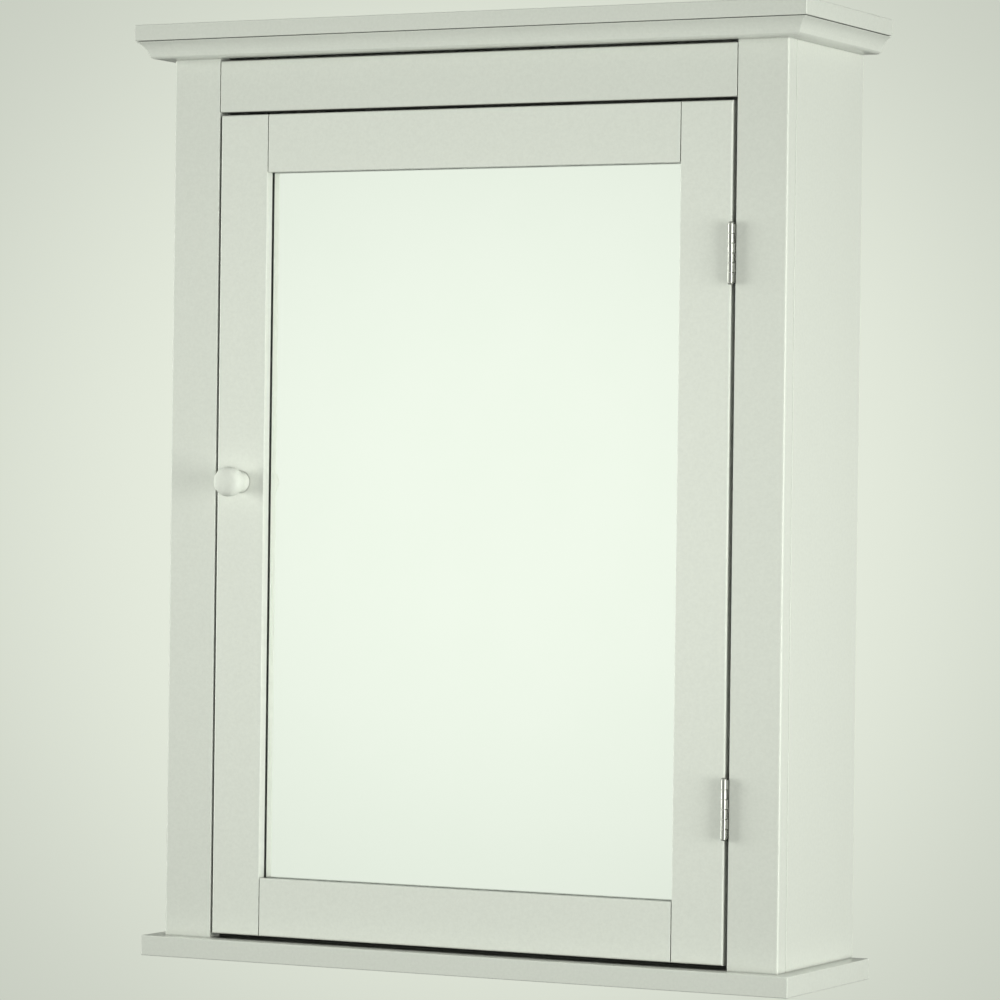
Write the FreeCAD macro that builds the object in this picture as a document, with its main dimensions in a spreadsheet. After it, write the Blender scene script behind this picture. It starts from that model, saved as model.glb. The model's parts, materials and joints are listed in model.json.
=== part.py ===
import FreeCAD, Part
import os
import re
import Sketcher

# Wall cabinet with one framed mirror door, in millimetres.
# X runs along the wall, the door faces -Y, the wall is the plane Y = 0 and +Z is up.
# The origin is midway between the two wall screws, on the wall plane.

SIZES = [
    # name, size, what it is
    ("carcass_width", 500, "over the two side panels"),
    ("carcass_height", 669, "side panels, from base board to top board"),
    ("carcass_depth", 136, "wall to the front of the face frame"),
    ("floor_level", -639, "top of the base board, below the wall screws"),
    ("panel_thickness", 12, "side panels, shelves and hanging rail"),
    ("back_thickness", 3, "back panel"),
    ("back_rebate", 6, "width of the rebate that takes the back panel"),
    ("top_thickness", 12, "top board"),
    ("top_overhang", 22.5, "top board past the carcass, front and sides"),
    ("base_thickness", 15, "base board"),
    ("base_overhang", 13, "base board past the carcass, front and sides"),
    ("edge_round", 1.5, "rounding of the long front edges"),
    ("edge_ease", 0.6, "rounding where two members meet"),
    ("board_ease", 0.8, "rounding of the top and base boards"),
    ("seam_width", 0.6, "open seam where two members meet"),
    ("seam_depth", 2, "open seam where two members meet"),
    ("seam_ease", 0.4, "rounding beside an open seam"),
    ("glue_gap", 0.1, "all round a dowel, nail or screw in its hole"),
    ("moulding_height", 13, "crown moulding under the top board"),
    ("moulding_depth", 21.4, "crown moulding, out from the carcass"),
    ("moulding_fillet", 1.0, "straight edge above the cove, with the seam over it"),
    ("moulding_nose", 14.8, "bottom nose, out from the carcass"),
    ("moulding_nose_height", 4.6, "bottom nose up to the cove"),
    ("moulding_nose_round", 4.2, "radius under the nose"),
    ("cove_radius", 15, "radius of the cove"),
    ("cove_out", 28.8, "centre of the cove, out from the carcass"),
    ("cove_down", 0.86, "centre of the cove, below the moulding's underside"),
    ("frame_thickness", 14, "face frame and door frame"),
    ("face_stile_width", 39, "upright of the face frame"),
    ("face_rail_height", 38.5, "top rail of the face frame"),
    ("face_rail_gap", 1.8, "shadow gap between top rail and moulding"),
    ("door_width", 417, "door"),
    ("door_height", 610, "door"),
    ("door_hinge_gap", 3.4, "door to face frame, hinge side"),
    ("door_bottom_gap", 3.4, "door to base board"),
    ("door_stile_width", 40, "door uprights"),
    ("door_rail_height", 43, "door rails"),
    ("mirror_recess", 7.6, "door face to mirror face"),
    ("mirror_thickness", 3.2, "mirror glass"),
    ("mirror_rebate", 8, "width of the rebate behind the sight edge"),
    ("mirror_play", 0.5, "all round the glass in its rebate"),
    ("dowel_radius", 3, "all dowels"),
    ("dowel_short", 8, "dowel in the side panel or face stile"),
    ("dowel_long", 16, "dowel in the other member"),
    ("panel_dowel_front", 100, "front shelf dowel, from the wall"),
    ("panel_dowel_rear", 30, "rear shelf dowel, from the wall"),
    ("rail_dowel_pitch", 18, "between the two dowels of a rail"),
    ("rail_dowel_edge", 10, "outer dowel from the rail's outer edge"),
    ("door_dowel_pitch", 15, "between the two dowels of a door joint"),
    ("frame_dowel_first", 60, "lowest dowel between stile and side panel"),
    ("frame_dowel_pitch", 270, "between the dowels up a face stile"),
    ("hanging_rail_height", 60, "hanging rail"),
    ("hanging_rail_below", 30, "hanging rail, below the wall screws"),
    ("wall_hole_radius", 2.75, "holes for the wall screws"),
    ("wall_hole_pitch", 406.4, "between the wall screws"),
    ("fixed_shelf_level", 322, "underside of the fixed shelf, above the base board"),
    ("fixed_shelf_front", 116, "front edge of the fixed shelf, from the wall"),
    ("loose_shelf_depth", 100, "adjustable shelf"),
    ("loose_shelf_rear", 4, "rear edge of an adjustable shelf, from the wall"),
    ("loose_shelf_play", 1, "adjustable shelf to side panel"),
    ("peg_hole_radius", 2.55, "shelf peg holes"),
    ("peg_hole_depth", 9, "shelf peg holes"),
    ("peg_hole_pitch", 32, "between the peg holes of a row"),
    ("peg_rear", 25, "rear row of pegs, from the wall"),
    ("peg_spacing", 65, "between the rear and front rows"),
    ("peg_level_lower", 160, "pegs of the lower shelf, above the base board"),
    ("peg_level_upper", 494, "pegs of the upper shelf, above the base board"),
    ("peg_radius", 2.5, "shelf peg"),
    ("peg_length", 8, "shelf peg in its hole"),
    ("peg_collar_radius", 3.6, "collar of a shelf peg"),
    ("peg_collar_thickness", 0.9, "collar of a shelf peg"),
    ("peg_tongue_length", 7.5, "tongue under the shelf"),
    ("peg_tongue_width", 6, "tongue under the shelf"),
    ("peg_tongue_top", 1.2, "tongue's flat top above the peg's middle"),
    ("peg_tongue_height", 3, "tongue under the shelf"),
    ("board_screw_front", 95, "front screw of top and base boards, from the wall"),
    ("board_screw_rear", 35, "rear screw of top and base boards, from the wall"),
    ("board_screw_radius", 2, "shank of a board screw"),
    ("board_screw_head", 4, "head radius of a board screw"),
    ("board_screw_length", 40, "board screw"),
    ("nail_radius", 0.8, "back panel nail"),
    ("nail_head", 2, "head radius of a nail"),
    ("nail_head_thickness", 0.8, "head of a nail"),
    ("nail_length", 15, "back panel nail"),
    ("nail_first", 34, "lowest nail above the base board"),
    ("nail_run", 600, "lowest nail to highest nail"),
    ("hinge_height", 41.5, "butt hinge"),
    ("hinge_inset", 109.4, "middle of a hinge from the door's end, before the lift"),
    ("hinge_lift", 1.2, "both hinges, up from that"),
    ("pivot_inset", 1.1, "pivot, past the door's edge"),
    ("pivot_forward", 3.2, "pivot, in front of the face frame"),
    ("barrel_radius", 2.3, "hinge barrel"),
    ("knuckle_gap", 0.5, "between two knuckles"),
    ("leaf_thickness", 1.2, "hinge leaf"),
    ("leaf_start", 2.7, "hinge leaf's near edge, behind the pivot"),
    ("leaf_end", 15.2, "hinge leaf's far edge, behind the pivot"),
    ("leaf_hole_back", 9.2, "leaf screw, behind the pivot"),
    ("leaf_hole_pitch", 22, "between the two screws of a leaf"),
    ("mortise_play", 0.1, "round the door leaf in its mortise"),
    ("pin_radius", 1.0, "hinge pin"),
    ("pin_clearance", 0.05, "hinge pin in its knuckles"),
    ("pin_tip_gap", 0.1, "knuckle to pin tip"),
    ("pin_tip_radius", 2.1, "domed tip of a hinge pin"),
    ("pin_tip_height", 1.6, "domed tip of a hinge pin"),
    ("small_screw_radius", 1.4, "shank of a leaf, clip or catch screw"),
    ("small_screw_head", 2.5, "head radius of a leaf, clip or catch screw"),
    ("leaf_screw_length", 12, "leaf screw"),
    ("clip_length", 20, "mirror clip"),
    ("clip_width", 9, "mirror clip"),
    ("clip_thickness", 1.2, "mirror clip"),
    ("clip_hole", 5, "clip's screw from its outer end"),
    ("clip_reach", 7, "clip over the mirror backing"),
    ("clip_side_first", 95, "lowest side clip above the door's end"),
    ("clip_side_pitch", 140, "between the side clips"),
    ("clip_end_inset", 120, "end clips from the door's sides"),
    ("clip_screw_length", 10, "clip screw"),
    ("clip_head_height", 1.2, "head of a clip screw"),
    ("catch_inset", 18, "middle of the catch from the door's edge"),
    ("catch_width", 30, "catch housing"),
    ("catch_depth", 17, "catch housing"),
    ("catch_height", 11, "catch housing"),
    ("catch_gap", 0.2, "catch pole plates to strike plate"),
    ("catch_flange_width", 46, "catch mounting flange"),
    ("catch_flange_depth", 11, "catch mounting flange"),
    ("catch_flange_height", 2.5, "catch mounting flange"),
    ("catch_hole_pitch", 38, "between the catch screws"),
    ("catch_wall", 1.6, "catch housing wall under and over the plates"),
    ("catch_cavity_width", 24.4, "hollow of the catch housing"),
    ("catch_cavity_depth", 13, "hollow of the catch housing"),
    ("pole_thickness", 1.2, "steel plate above and below the magnet"),
    ("pole_width", 24, "steel plate"),
    ("pole_proud", 0.8, "steel plate in front of the housing"),
    ("magnet_depth", 10, "magnet"),
    ("strike_width", 26, "strike plate"),
    ("strike_height", 13, "strike plate"),
    ("strike_thickness", 1, "strike plate"),
    ("knob_level", 337, "middle of the knob above the door's bottom edge"),
    ("knob_radius", 11.2, "head of the knob"),
    ("knob_half_depth", 8.2, "head of the knob, front to back, halved"),
    ("knob_projection", 25.8, "front of the knob from the door face"),
    ("knob_neck_radius", 6.5, "thinnest part of the knob"),
    ("knob_foot_radius", 8.6, "foot of the knob"),
    ("knob_foot_height", 2.2, "foot of the knob"),
    ("knob_neck_end", 13, "neck, from the door face"),
    ("knob_bore_depth", 12, "threaded hole in the knob"),
    ("knob_screw_radius", 2, "knob screw"),
    ("knob_screw_head", 4, "head radius of the knob screw"),
    ("knob_screw_head_height", 2.2, "head of the knob screw"),
    ("knob_screw_grip", 10.5, "knob screw in the knob"),
]

# For each drilling direction: sketch plane, whether the pocket is reversed, and
# the sign that turns a position along the axis into an offset from that plane.
DRILLING = {
    "+X": ("YZ_Plane", True, 1),
    "-X": ("YZ_Plane", False, 1),
    "+Y": ("XZ_Plane", False, -1),
    "-Y": ("XZ_Plane", True, -1),
    "+Z": ("XY_Plane", True, 1),
    "-Z": ("XY_Plane", False, 1),
}

# For each turning axis: sketch plane, the sketch axis to turn about, and whether
# the sketch's first coordinate runs along the axis instead of out from it.
TURNING = {
    "X": ("XY_Plane", "H_Axis", True),
    "Y": ("XY_Plane", "V_Axis", False),
    "Z": ("XZ_Plane", "V_Axis", False),
}

SIDES = {"left": -1, "right": 1}

# Positions that several pieces share, as expressions of the sheet's cells.
FRONT = "(0 - carcass_depth)"
FRAME_BACK = "(frame_thickness - carcass_depth)"
DOOR_RIGHT = "(carcass_width / 2 - face_stile_width - door_hinge_gap)"
DOOR_LEFT = f"({DOOR_RIGHT} - door_width)"
DOOR_MIDDLE = f"({DOOR_RIGHT} - door_width / 2)"
DOOR_BOTTOM = "(floor_level + door_bottom_gap)"
INNER_HALF = "(carcass_width / 2 - panel_thickness)"
RAIL_TOP = "(floor_level + carcass_height - moulding_height - face_rail_gap)"
PIVOT_X = f"({DOOR_RIGHT} + pivot_inset)"
PIVOT_Y = "(0 - carcass_depth - pivot_forward)"
KNUCKLE_PITCH = "(hinge_height / 6)"
HINGE_BOTTOM = {
    "lower": f"({DOOR_BOTTOM} + hinge_lift + hinge_inset - hinge_height / 2)",
    "upper": f"({DOOR_BOTTOM} + hinge_lift + door_height - hinge_inset - hinge_height / 2)",
}
HINGE_SPREAD = "(door_height - 2 * hinge_inset)"
LEAF_HOLE_LOW = "(hinge_height / 2 - leaf_hole_pitch / 2)"
CATCH_X = f"({DOOR_LEFT} + catch_inset)"
CATCH_FRONT = f"({FRAME_BACK} + strike_thickness + catch_gap)"
CATCH_TOP = "(floor_level + fixed_shelf_level)"
CATCH_MIDDLE = f"({CATCH_TOP} - catch_flange_height - (catch_height - catch_flange_height) / 2)"
CATCH_SCREW_Y = f"({CATCH_FRONT} + pole_proud + catch_depth - catch_flange_depth / 2)"
MIRROR_WIDTH = "(door_width - 2 * door_stile_width + 2 * mirror_rebate - 2 * mirror_play)"
MIRROR_HEIGHT = "(door_height - 2 * door_rail_height + 2 * mirror_rebate - 2 * mirror_play)"

# A clip's screw from the inner edge of its rail, and the same from the door's side edge.
CLIP_SCREW_OUT = "(mirror_rebate - mirror_play - clip_reach + clip_length - clip_hole)"
CLIP_SCREW_INSET = f"(door_stile_width - {CLIP_SCREW_OUT})"
END_CLIP_LEVEL = {
    "bottom": f"(door_rail_height - {CLIP_SCREW_OUT})",
    "top": f"(door_height - door_rail_height + {CLIP_SCREW_OUT})",
}

# Cross recess of a screw, as shares of its head's radius.
CROSS_REACH = "0.52"
CROSS_HALF_WIDTH = "0.13"
CROSS_DEPTH = "0.4"

doc = FreeCAD.newDocument("mirror_cabinet")
sheet = doc.addObject("Spreadsheet::Sheet", "Sizes")
pieces = []


def fill_sheet():
    """Write the driving sizes, one alias to a row."""
    for row, (name, size, meaning) in enumerate(SIZES, start=1):
        sheet.set(f"A{row}", name)
        sheet.set(f"B{row}", str(size))
        sheet.set(f"C{row}", meaning)
        sheet.setAlias(f"B{row}", name)
    doc.recompute()


def cells(text):
    """Name the sheet in front of each of its cells in an expression."""
    return re.sub(r"[a-z]+(?:_[a-z]+)+", lambda word: "Sizes." + word.group(), text)


def bind(item, **expressions):
    """Bind properties of an object to expressions of the sheet's cells."""
    for name, text in expressions.items():
        item.setExpression(name, cells(text))


def new_body(label, place):
    """Start a sub-part whose origin sits at three expressions."""
    body = doc.addObject("PartDesign::Body", label)
    for axis, text in zip("xyz", place):
        body.setExpression(f"Placement.Base.{axis}", cells(text))
    pieces.append(body)
    return body


def origin_feature(body, role):
    """One of the body's own origin planes or axes."""
    return next(item for item in body.Origin.OriginFeatures if item.Role == role)


def new_sketch(body, role, away="0"):
    """A sketch on one of the body's origin planes, moved away along its normal."""
    sketch = body.newObject("Sketcher::SketchObject", "Sketch")
    sketch.AttachmentSupport = [(origin_feature(body, role), "")]
    sketch.MapMode = "FlatFace"
    sketch.setExpression("AttachmentOffset.Base.z", cells(away))
    return sketch


def pin_point(sketch, geometry, point, place):
    """Hold one point of a sketch at two expressions from the sketch's origin."""
    for kind, text in zip(("DistanceX", "DistanceY"), place):
        index = sketch.addConstraint(Sketcher.Constraint(kind, -1, 1, geometry, point, 1.0))
        sketch.setExpression(f"Constraints[{index}]", cells(text))


def draw_polygon(sketch, corners):
    """A closed outline through corners, each given by two expressions."""
    count = len(corners)
    turn = FreeCAD.Rotation(FreeCAD.Vector(0, 0, 1), 360 / count)
    spot = FreeCAD.Vector(1, 0, 0)
    for _ in corners:
        following = turn.multVec(spot)
        sketch.addGeometry(Part.LineSegment(spot, following), False)
        spot = following
    for index, corner in enumerate(corners):
        previous = (index - 1) % count
        sketch.addConstraint(Sketcher.Constraint("Coincident", previous, 2, index, 1))
        pin_point(sketch, index, 1, corner)


def draw_rectangle(sketch, low, high):
    """A rectangle between two opposite corners."""
    corners = [low, (high[0], low[1]), high, (low[0], high[1])]
    draw_polygon(sketch, corners)


def draw_circle(sketch, centre, radius):
    """A circle about a centre given by two expressions."""
    circle = Part.Circle(FreeCAD.Vector(1, 1, 0), FreeCAD.Vector(0, 0, 1), 1)
    index = sketch.addGeometry(circle, False)
    pin_point(sketch, index, 3, centre)
    size = sketch.addConstraint(Sketcher.Constraint("Radius", index, 1.0))
    sketch.setExpression(f"Constraints[{size}]", cells(radius))


def draw_cross(sketch, centre, head):
    """The cross recess of a screw whose head has a given radius."""
    reach = f"{CROSS_REACH} * {head}"
    half = f"{CROSS_HALF_WIDTH} * {head}"
    arm = [(half, reach), (f"0 - {half}", reach), (f"0 - {half}", half)]
    side = [(f"0 - {reach}", half), (f"0 - {reach}", f"0 - {half}")]
    foot = [(f"0 - {half}", f"0 - {half}"), (f"0 - {half}", f"0 - {reach}")]
    back = [(half, f"0 - {reach}"), (half, f"0 - {half}")]
    last = [(reach, f"0 - {half}"), (reach, half), (half, half)]
    outline = arm + side + foot + back + last
    corners = [(f"{centre[0]} + {x}", f"{centre[1]} + {y}") for x, y in outline]
    draw_polygon(sketch, corners)


def pad(body, sketch, length, backward=False):
    """Extrude a sketch."""
    feature = body.newObject("PartDesign::Pad", "Pad")
    feature.Profile = sketch
    feature.Reversed = backward
    bind(feature, Length=length)
    return feature


def cut(body, direction, start, draw, depth):
    """Cut what draw() sketches, from start along a direction, to a depth."""
    role, backward, sign = DRILLING[direction]
    sketch = new_sketch(body, role, f"{sign} * ({start})")
    draw(sketch)
    feature = body.newObject("PartDesign::Pocket", "Pocket")
    feature.Profile = sketch
    feature.Reversed = backward
    bind(feature, Length=depth)
    return feature


def drill(body, direction, start, centre, radius, depth):
    """A round hole from start along a direction."""
    return cut(body, direction, start, lambda sketch: draw_circle(sketch, centre, radius), depth)


def cut_cross(body, direction, start, centre, head):
    """A cross recess in a screw's head, from start along a direction."""
    depth = f"{CROSS_DEPTH} * {head}"
    return cut(body, direction, start, lambda sketch: draw_cross(sketch, centre, head), depth)


def spread(body, features, steps, mirror=False):
    """Repeat features along axes, then across the middle plane X = 0 if asked."""
    group = body.newObject("PartDesign::MultiTransform", "Spread")
    group.Originals = features
    body.Tip = group
    moves = []
    for axis, count, length in steps:
        move = doc.addObject("PartDesign::LinearPattern", "Steps")
        move.Direction = (origin_feature(body, axis + "_Axis"), [""])
        move.Reversed = length.startswith("-")
        move.Occurrences = count
        bind(move, Length=length.lstrip("-"))
        moves.append(move)
    if mirror:
        move = doc.addObject("PartDesign::Mirrored", "Mirror")
        move.MirrorPlane = (origin_feature(body, "YZ_Plane"), [""])
        moves.append(move)
    group.Transformations = moves
    return group


def dress(body, kind, size_name, size, test):
    """Fillet or chamfer the edges of the body so far that pass a test."""
    doc.recompute()
    base = body.Tip
    names = [
        f"Edge{number}"
        for number, edge in enumerate(base.Shape.Edges, start=1)
        if not edge.Degenerated and test(edge)
    ]
    if not names:
        raise RuntimeError(f"{body.Label}: no edge to dress")
    feature = body.newObject("PartDesign::" + kind, kind)
    feature.Base = (base, names)
    bind(feature, **{size_name: size})
    return feature


def round_edges(body, radius, test):
    """Round edges that pass a test."""
    return dress(body, "Fillet", "Radius", radius, test)


def countersink(body, depth, hole_radius, axis, level):
    """Chamfer the rims of holes of one radius on a plane across an axis."""
    radius = sheet.get(hole_radius) + sheet.get("glue_gap")

    def is_rim(edge):
        curve = edge.Curve
        if not isinstance(curve, Part.Circle):
            return False
        at_level = abs(getattr(curve.Center, axis) - level) < 0.01
        return at_level and abs(curve.Radius - radius) < 0.01

    return dress(body, "Chamfer", "Size", depth, is_rim)


def edge_at(**places):
    """A test for straight edges that lie where all the given coordinates say."""

    def test(edge):
        if not isinstance(edge.Curve, Part.Line):
            return False
        box = edge.BoundBox
        for axis, place in places.items():
            low = getattr(box, axis.upper() + "Min")
            high = getattr(box, axis.upper() + "Max")
            if abs(low - place) > 0.01 or abs(high - place) > 0.01:
                return False
        return True

    return test


def any_of(*tests):
    """A test that passes when one of several tests does."""
    return lambda edge: any(test(edge) for test in tests)


def board(label, place, width, depth, height):
    """A board centred on its own X = 0, its front at Y = 0 and its bottom at Z = 0."""
    body = new_body(label, place)
    sketch = new_sketch(body, "XY_Plane")
    draw_rectangle(sketch, (f"0 - {width} / 2", "0"), (f"{width} / 2", depth))
    pad(body, sketch, height)
    return body


def turned(body, axis, profile):
    """Turn a profile of (out from the axis, along the axis) corners about an axis."""
    role, line, along_first = TURNING[axis]
    sketch = new_sketch(body, role)
    corners = [(along, out) if along_first else (out, along) for out, along in profile]
    draw_polygon(sketch, corners)
    feature = body.newObject("PartDesign::Revolution", "Turning")
    feature.Profile = sketch
    feature.ReferenceAxis = (sketch, [line])
    feature.Angle = 360
    return feature


def dowels(label, place, axis, back, ahead, steps, mirror=False):
    """Dowels along an axis, reaching back and ahead of the joint they cross."""
    body = new_body(label, place)
    tip = "edge_round"
    profile = [
        ("0", f"0 - {back}"),
        (f"dowel_radius - {tip}", f"0 - {back}"),
        ("dowel_radius", f"{tip} - {back}"),
        ("dowel_radius", f"{ahead} - {tip}"),
        (f"dowel_radius - {tip}", ahead),
        ("0", ahead),
    ]
    feature = turned(body, axis, profile)
    spread(body, [feature], steps, mirror)
    return body


def screws(label, place, axis, direction, radius, head, length, steps):
    """Countersunk screws: heads flush at the body's origin, points along direction."""
    body = new_body(label, place)
    sign = {"+": "", "-": "0 - "}[direction]
    cone = f"({head} - {radius})"
    profile = [
        ("0", "0"),
        (head, "0"),
        (radius, f"{sign}{cone}"),
        (radius, f"{sign}({length} - {radius})"),
        ("0", f"{sign}{length}"),
    ]
    feature = turned(body, axis, profile)
    recess = cut_cross(body, direction + axis, "0", ("0", "0"), head)
    if steps:
        spread(body, [feature, recess], steps)
    return body


def make_base_board():
    """The floor of the cabinet, which stands out past the carcass."""
    front = "(0 - carcass_depth - base_overhang)"
    place = ("0", front, "floor_level - base_thickness")
    width = "(carcass_width + 2 * base_overhang)"
    depth = "(carcass_depth + base_overhang)"
    body = board("base_board", place, width, depth, "base_thickness")
    thickness = sheet.get("base_thickness")
    ease_board(body, sheet.get("base_overhang"), thickness)
    drill_board(body, "+Z", "0", "base_thickness", "base_overhang", 0)


def make_top_board():
    """The top of the cabinet, which carries the crown moulding under its overhang."""
    front = "(0 - carcass_depth - top_overhang)"
    place = ("0", front, "floor_level + carcass_height")
    width = "(carcass_width + 2 * top_overhang)"
    depth = "(carcass_depth + top_overhang)"
    body = board("top_board", place, width, depth, "top_thickness")
    thickness = sheet.get("top_thickness")
    ease_board(body, sheet.get("top_overhang"), thickness)
    drill_board(body, "-Z", "top_thickness", "top_thickness", "top_overhang", thickness)


def ease_board(body, overhang, thickness):
    """Ease the front and side edges of an overhanging board."""
    half = sheet.get("carcass_width") / 2 + overhang
    tests = []
    for level in (0, thickness):
        tests.append(edge_at(y=0, z=level))
        tests.append(edge_at(x=-half, z=level))
        tests.append(edge_at(x=half, z=level))
    tests.append(edge_at(x=-half, y=0))
    tests.append(edge_at(x=half, y=0))
    round_edges(body, "board_ease", any_of(*tests))


def drill_board(body, direction, start, thickness, overhang, rim_level):
    """Countersunk holes for the screws into the side panels' ends."""
    depth = f"(carcass_depth + {overhang})"
    centre = (
        "0 - carcass_width / 2 + panel_thickness / 2",
        f"{depth} - board_screw_front",
    )
    radius = "board_screw_radius + glue_gap"
    hole = drill(body, direction, start, centre, radius, f"{thickness} + 1")
    across = ("X", 2, "carcass_width - panel_thickness")
    back = ("Y", 2, "board_screw_front - board_screw_rear")
    spread(body, [hole], [across, back])
    depth = "board_screw_head - board_screw_radius"
    countersink(body, depth, "board_screw_radius", "z", rim_level)


def make_board_screws():
    """Screws down through the top board and up through the base board."""
    x = "0 - carcass_width / 2 + panel_thickness / 2"
    y = "0 - board_screw_front"
    steps = [
        ("X", 2, "carcass_width - panel_thickness"),
        ("Y", 2, "board_screw_front - board_screw_rear"),
    ]
    sizes = ("board_screw_radius", "board_screw_head", "board_screw_length")
    top = (x, y, "floor_level + carcass_height + top_thickness")
    screws("top_board_screws", top, "Z", "-", *sizes, steps)
    bottom = (x, y, "floor_level - base_thickness")
    screws("base_board_screws", bottom, "Z", "+", *sizes, steps)


def make_side_panel(side):
    """A side panel: rebated for the back panel, with an open seam behind the face frame."""
    sign = SIDES[side]
    place = (f"{sign} * carcass_width / 2", "0", "floor_level")
    body = new_body(f"side_panel_{side}", place)
    inner = f"{-sign} * panel_thickness"
    seam = f"{-sign} * seam_depth"
    corners = [
        ("0", f"{FRAME_BACK} + seam_width"),
        (seam, f"{FRAME_BACK} + seam_width"),
        (seam, FRAME_BACK),
        (inner, FRAME_BACK),
        (inner, "0 - back_thickness"),
        (f"{-sign} * (panel_thickness - back_rebate)", "0 - back_thickness"),
        (f"{-sign} * (panel_thickness - back_rebate)", "0"),
        ("0", "0"),
    ]
    sketch = new_sketch(body, "XY_Plane")
    draw_polygon(sketch, corners)
    pad(body, sketch, "carcass_height")
    front = sheet.get("frame_thickness") - sheet.get("carcass_depth") + sheet.get("seam_width")
    round_edges(body, "seam_ease", edge_at(x=0, y=front))
    outward = {-1: "-X", 1: "+X"}[sign]
    bore_for_pegs(body, outward, inner)
    bore_for_cross_dowels(body, outward, inner)
    bore_ends_for_screws(body, sign)
    middle = f"{-sign} * panel_thickness / 2"
    bore_for_frame_dowels(body, middle, "+Y", FRAME_BACK, "dowel_long")
    nail = drill(
        body,
        "-Y",
        "0 - back_thickness",
        (f"{-sign} * (panel_thickness - back_rebate / 2)", "nail_first"),
        "nail_radius + glue_gap",
        "nail_length",
    )
    spread(body, [nail], [("Z", 5, "nail_run")])


def bore_for_pegs(body, outward, inner):
    """Two columns of five peg holes below the fixed shelf and two above it."""
    for level in ("peg_level_lower", "peg_level_upper"):
        centre = ("0 - peg_rear", f"{level} - 2 * peg_hole_pitch")
        hole = drill(body, outward, inner, centre, "peg_hole_radius", "peg_hole_depth")
        spread(body, [hole], [("Y", 2, "-peg_spacing"), ("Z", 5, "4 * peg_hole_pitch")])


def bore_for_cross_dowels(body, outward, inner):
    """Dowel holes for the fixed shelf and the hanging rail."""
    radius = "dowel_radius + glue_gap"
    shelf_middle = "fixed_shelf_level + panel_thickness / 2"
    centre = ("0 - panel_dowel_rear", shelf_middle)
    hole = drill(body, outward, inner, centre, radius, "dowel_short + glue_gap")
    spread(body, [hole], [("Y", 2, "-panel_dowel_front - panel_dowel_rear")])
    rail_y = "0 - back_thickness - panel_thickness / 2"
    rail_z = "0 - floor_level - rail_dowel_pitch / 2"
    hole = drill(body, outward, inner, (rail_y, rail_z), radius, "dowel_short + glue_gap")
    spread(body, [hole], [("Z", 2, "rail_dowel_pitch")])


def bore_ends_for_screws(body, sign):
    """Pilot holes in the top and bottom ends of a side panel."""
    centre = (f"{-sign} * panel_thickness / 2", "0 - board_screw_front")
    radius = "board_screw_radius + glue_gap"
    steps = [("Y", 2, "board_screw_front - board_screw_rear")]
    depth = "board_screw_length - base_thickness + 1"
    spread(body, [drill(body, "+Z", "0", centre, radius, depth)], steps)
    depth = "board_screw_length - top_thickness + 1"
    spread(body, [drill(body, "-Z", "carcass_height", centre, radius, depth)], steps)


def bore_for_frame_dowels(body, x, direction, start, depth):
    """Holes for the dowels between a face stile and its side panel."""
    radius = "dowel_radius + glue_gap"
    centre = (x, "frame_dowel_first")
    hole = drill(body, direction, start, centre, radius, f"{depth} + glue_gap")
    spread(body, [hole], [("Z", 3, "2 * frame_dowel_pitch")])


def make_face_stile(side):
    """An upright of the face frame, in front of the side panel's edge."""
    sign = SIDES[side]
    place = (f"{sign} * carcass_width / 2", FRONT, "floor_level")
    body = new_body(f"face_stile_{side}", place)
    inner = f"{-sign} * face_stile_width"
    sketch = new_sketch(body, "XY_Plane")
    draw_rectangle(sketch, ("0", "0"), (inner, "frame_thickness"))
    pad(body, sketch, "carcass_height")
    width = sheet.get("face_stile_width")
    round_edges(body, "edge_round", edge_at(x=0, y=0))
    round_edges(body, "edge_ease", edge_at(x=-sign * width, y=0))
    round_edges(body, "seam_ease", edge_at(x=0, y=sheet.get("frame_thickness")))
    x = f"{-sign} * panel_thickness / 2"
    bore_for_frame_dowels(body, x, "-Y", "frame_thickness", "dowel_short")
    outward = {-1: "-X", 1: "+X"}[sign]
    rail_bottom = f"({RAIL_TOP} - face_rail_height - floor_level)"
    centre = ("frame_thickness / 2", f"{rail_bottom} + rail_dowel_edge")
    radius = "dowel_radius + glue_gap"
    hole = drill(body, outward, inner, centre, radius, "dowel_long + glue_gap")
    spread(body, [hole], [("Z", 2, "rail_dowel_pitch")])
    if side == "right":
        bore_for_leaf_screws(body, "+X", inner, "leaf_hole_back - pivot_forward", "floor_level")


def bore_for_leaf_screws(body, direction, start, y, bottom):
    """Pilot holes for the screws of both hinges."""
    low = f"{HINGE_BOTTOM['lower']} - {bottom} + {LEAF_HOLE_LOW}"
    radius = "small_screw_radius + glue_gap"
    hole = drill(body, direction, start, (y, low), radius, "leaf_screw_length")
    spread(body, [hole], [("Z", 2, "leaf_hole_pitch"), ("Z", 2, HINGE_SPREAD)])


def make_face_top_rail():
    """The top rail of the face frame, between the stiles."""
    width = "(carcass_width - 2 * face_stile_width)"
    place = ("0", FRONT, f"{RAIL_TOP} - face_rail_height")
    body = board("face_top_rail", place, width, "frame_thickness", "face_rail_height")
    open_seams(body, width)
    height = sheet.get("face_rail_height")
    half = sheet.get("carcass_width") / 2 - sheet.get("face_stile_width")
    round_edges(body, "edge_round", any_of(edge_at(y=0, z=0), edge_at(y=0, z=height)))
    ease_seams(body, half)
    centre = ("frame_thickness / 2", "rail_dowel_edge")
    radius = "dowel_radius + glue_gap"
    hole = drill(body, "+X", f"0 - {width} / 2", centre, radius, "dowel_long + glue_gap")
    spread(body, [hole], [("Z", 2, "rail_dowel_pitch")], mirror=True)


def open_seams(body, width):
    """A narrow seam at each end of a rail, on the side that shows."""

    def seam(sketch):
        draw_rectangle(sketch, (f"{width} / 2 - seam_width", "-1"), (f"{width} / 2 + 1", "seam_depth"))

    spread(body, [cut(body, "+Z", "-1", seam, "2 * door_rail_height")], [], mirror=True)


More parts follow.
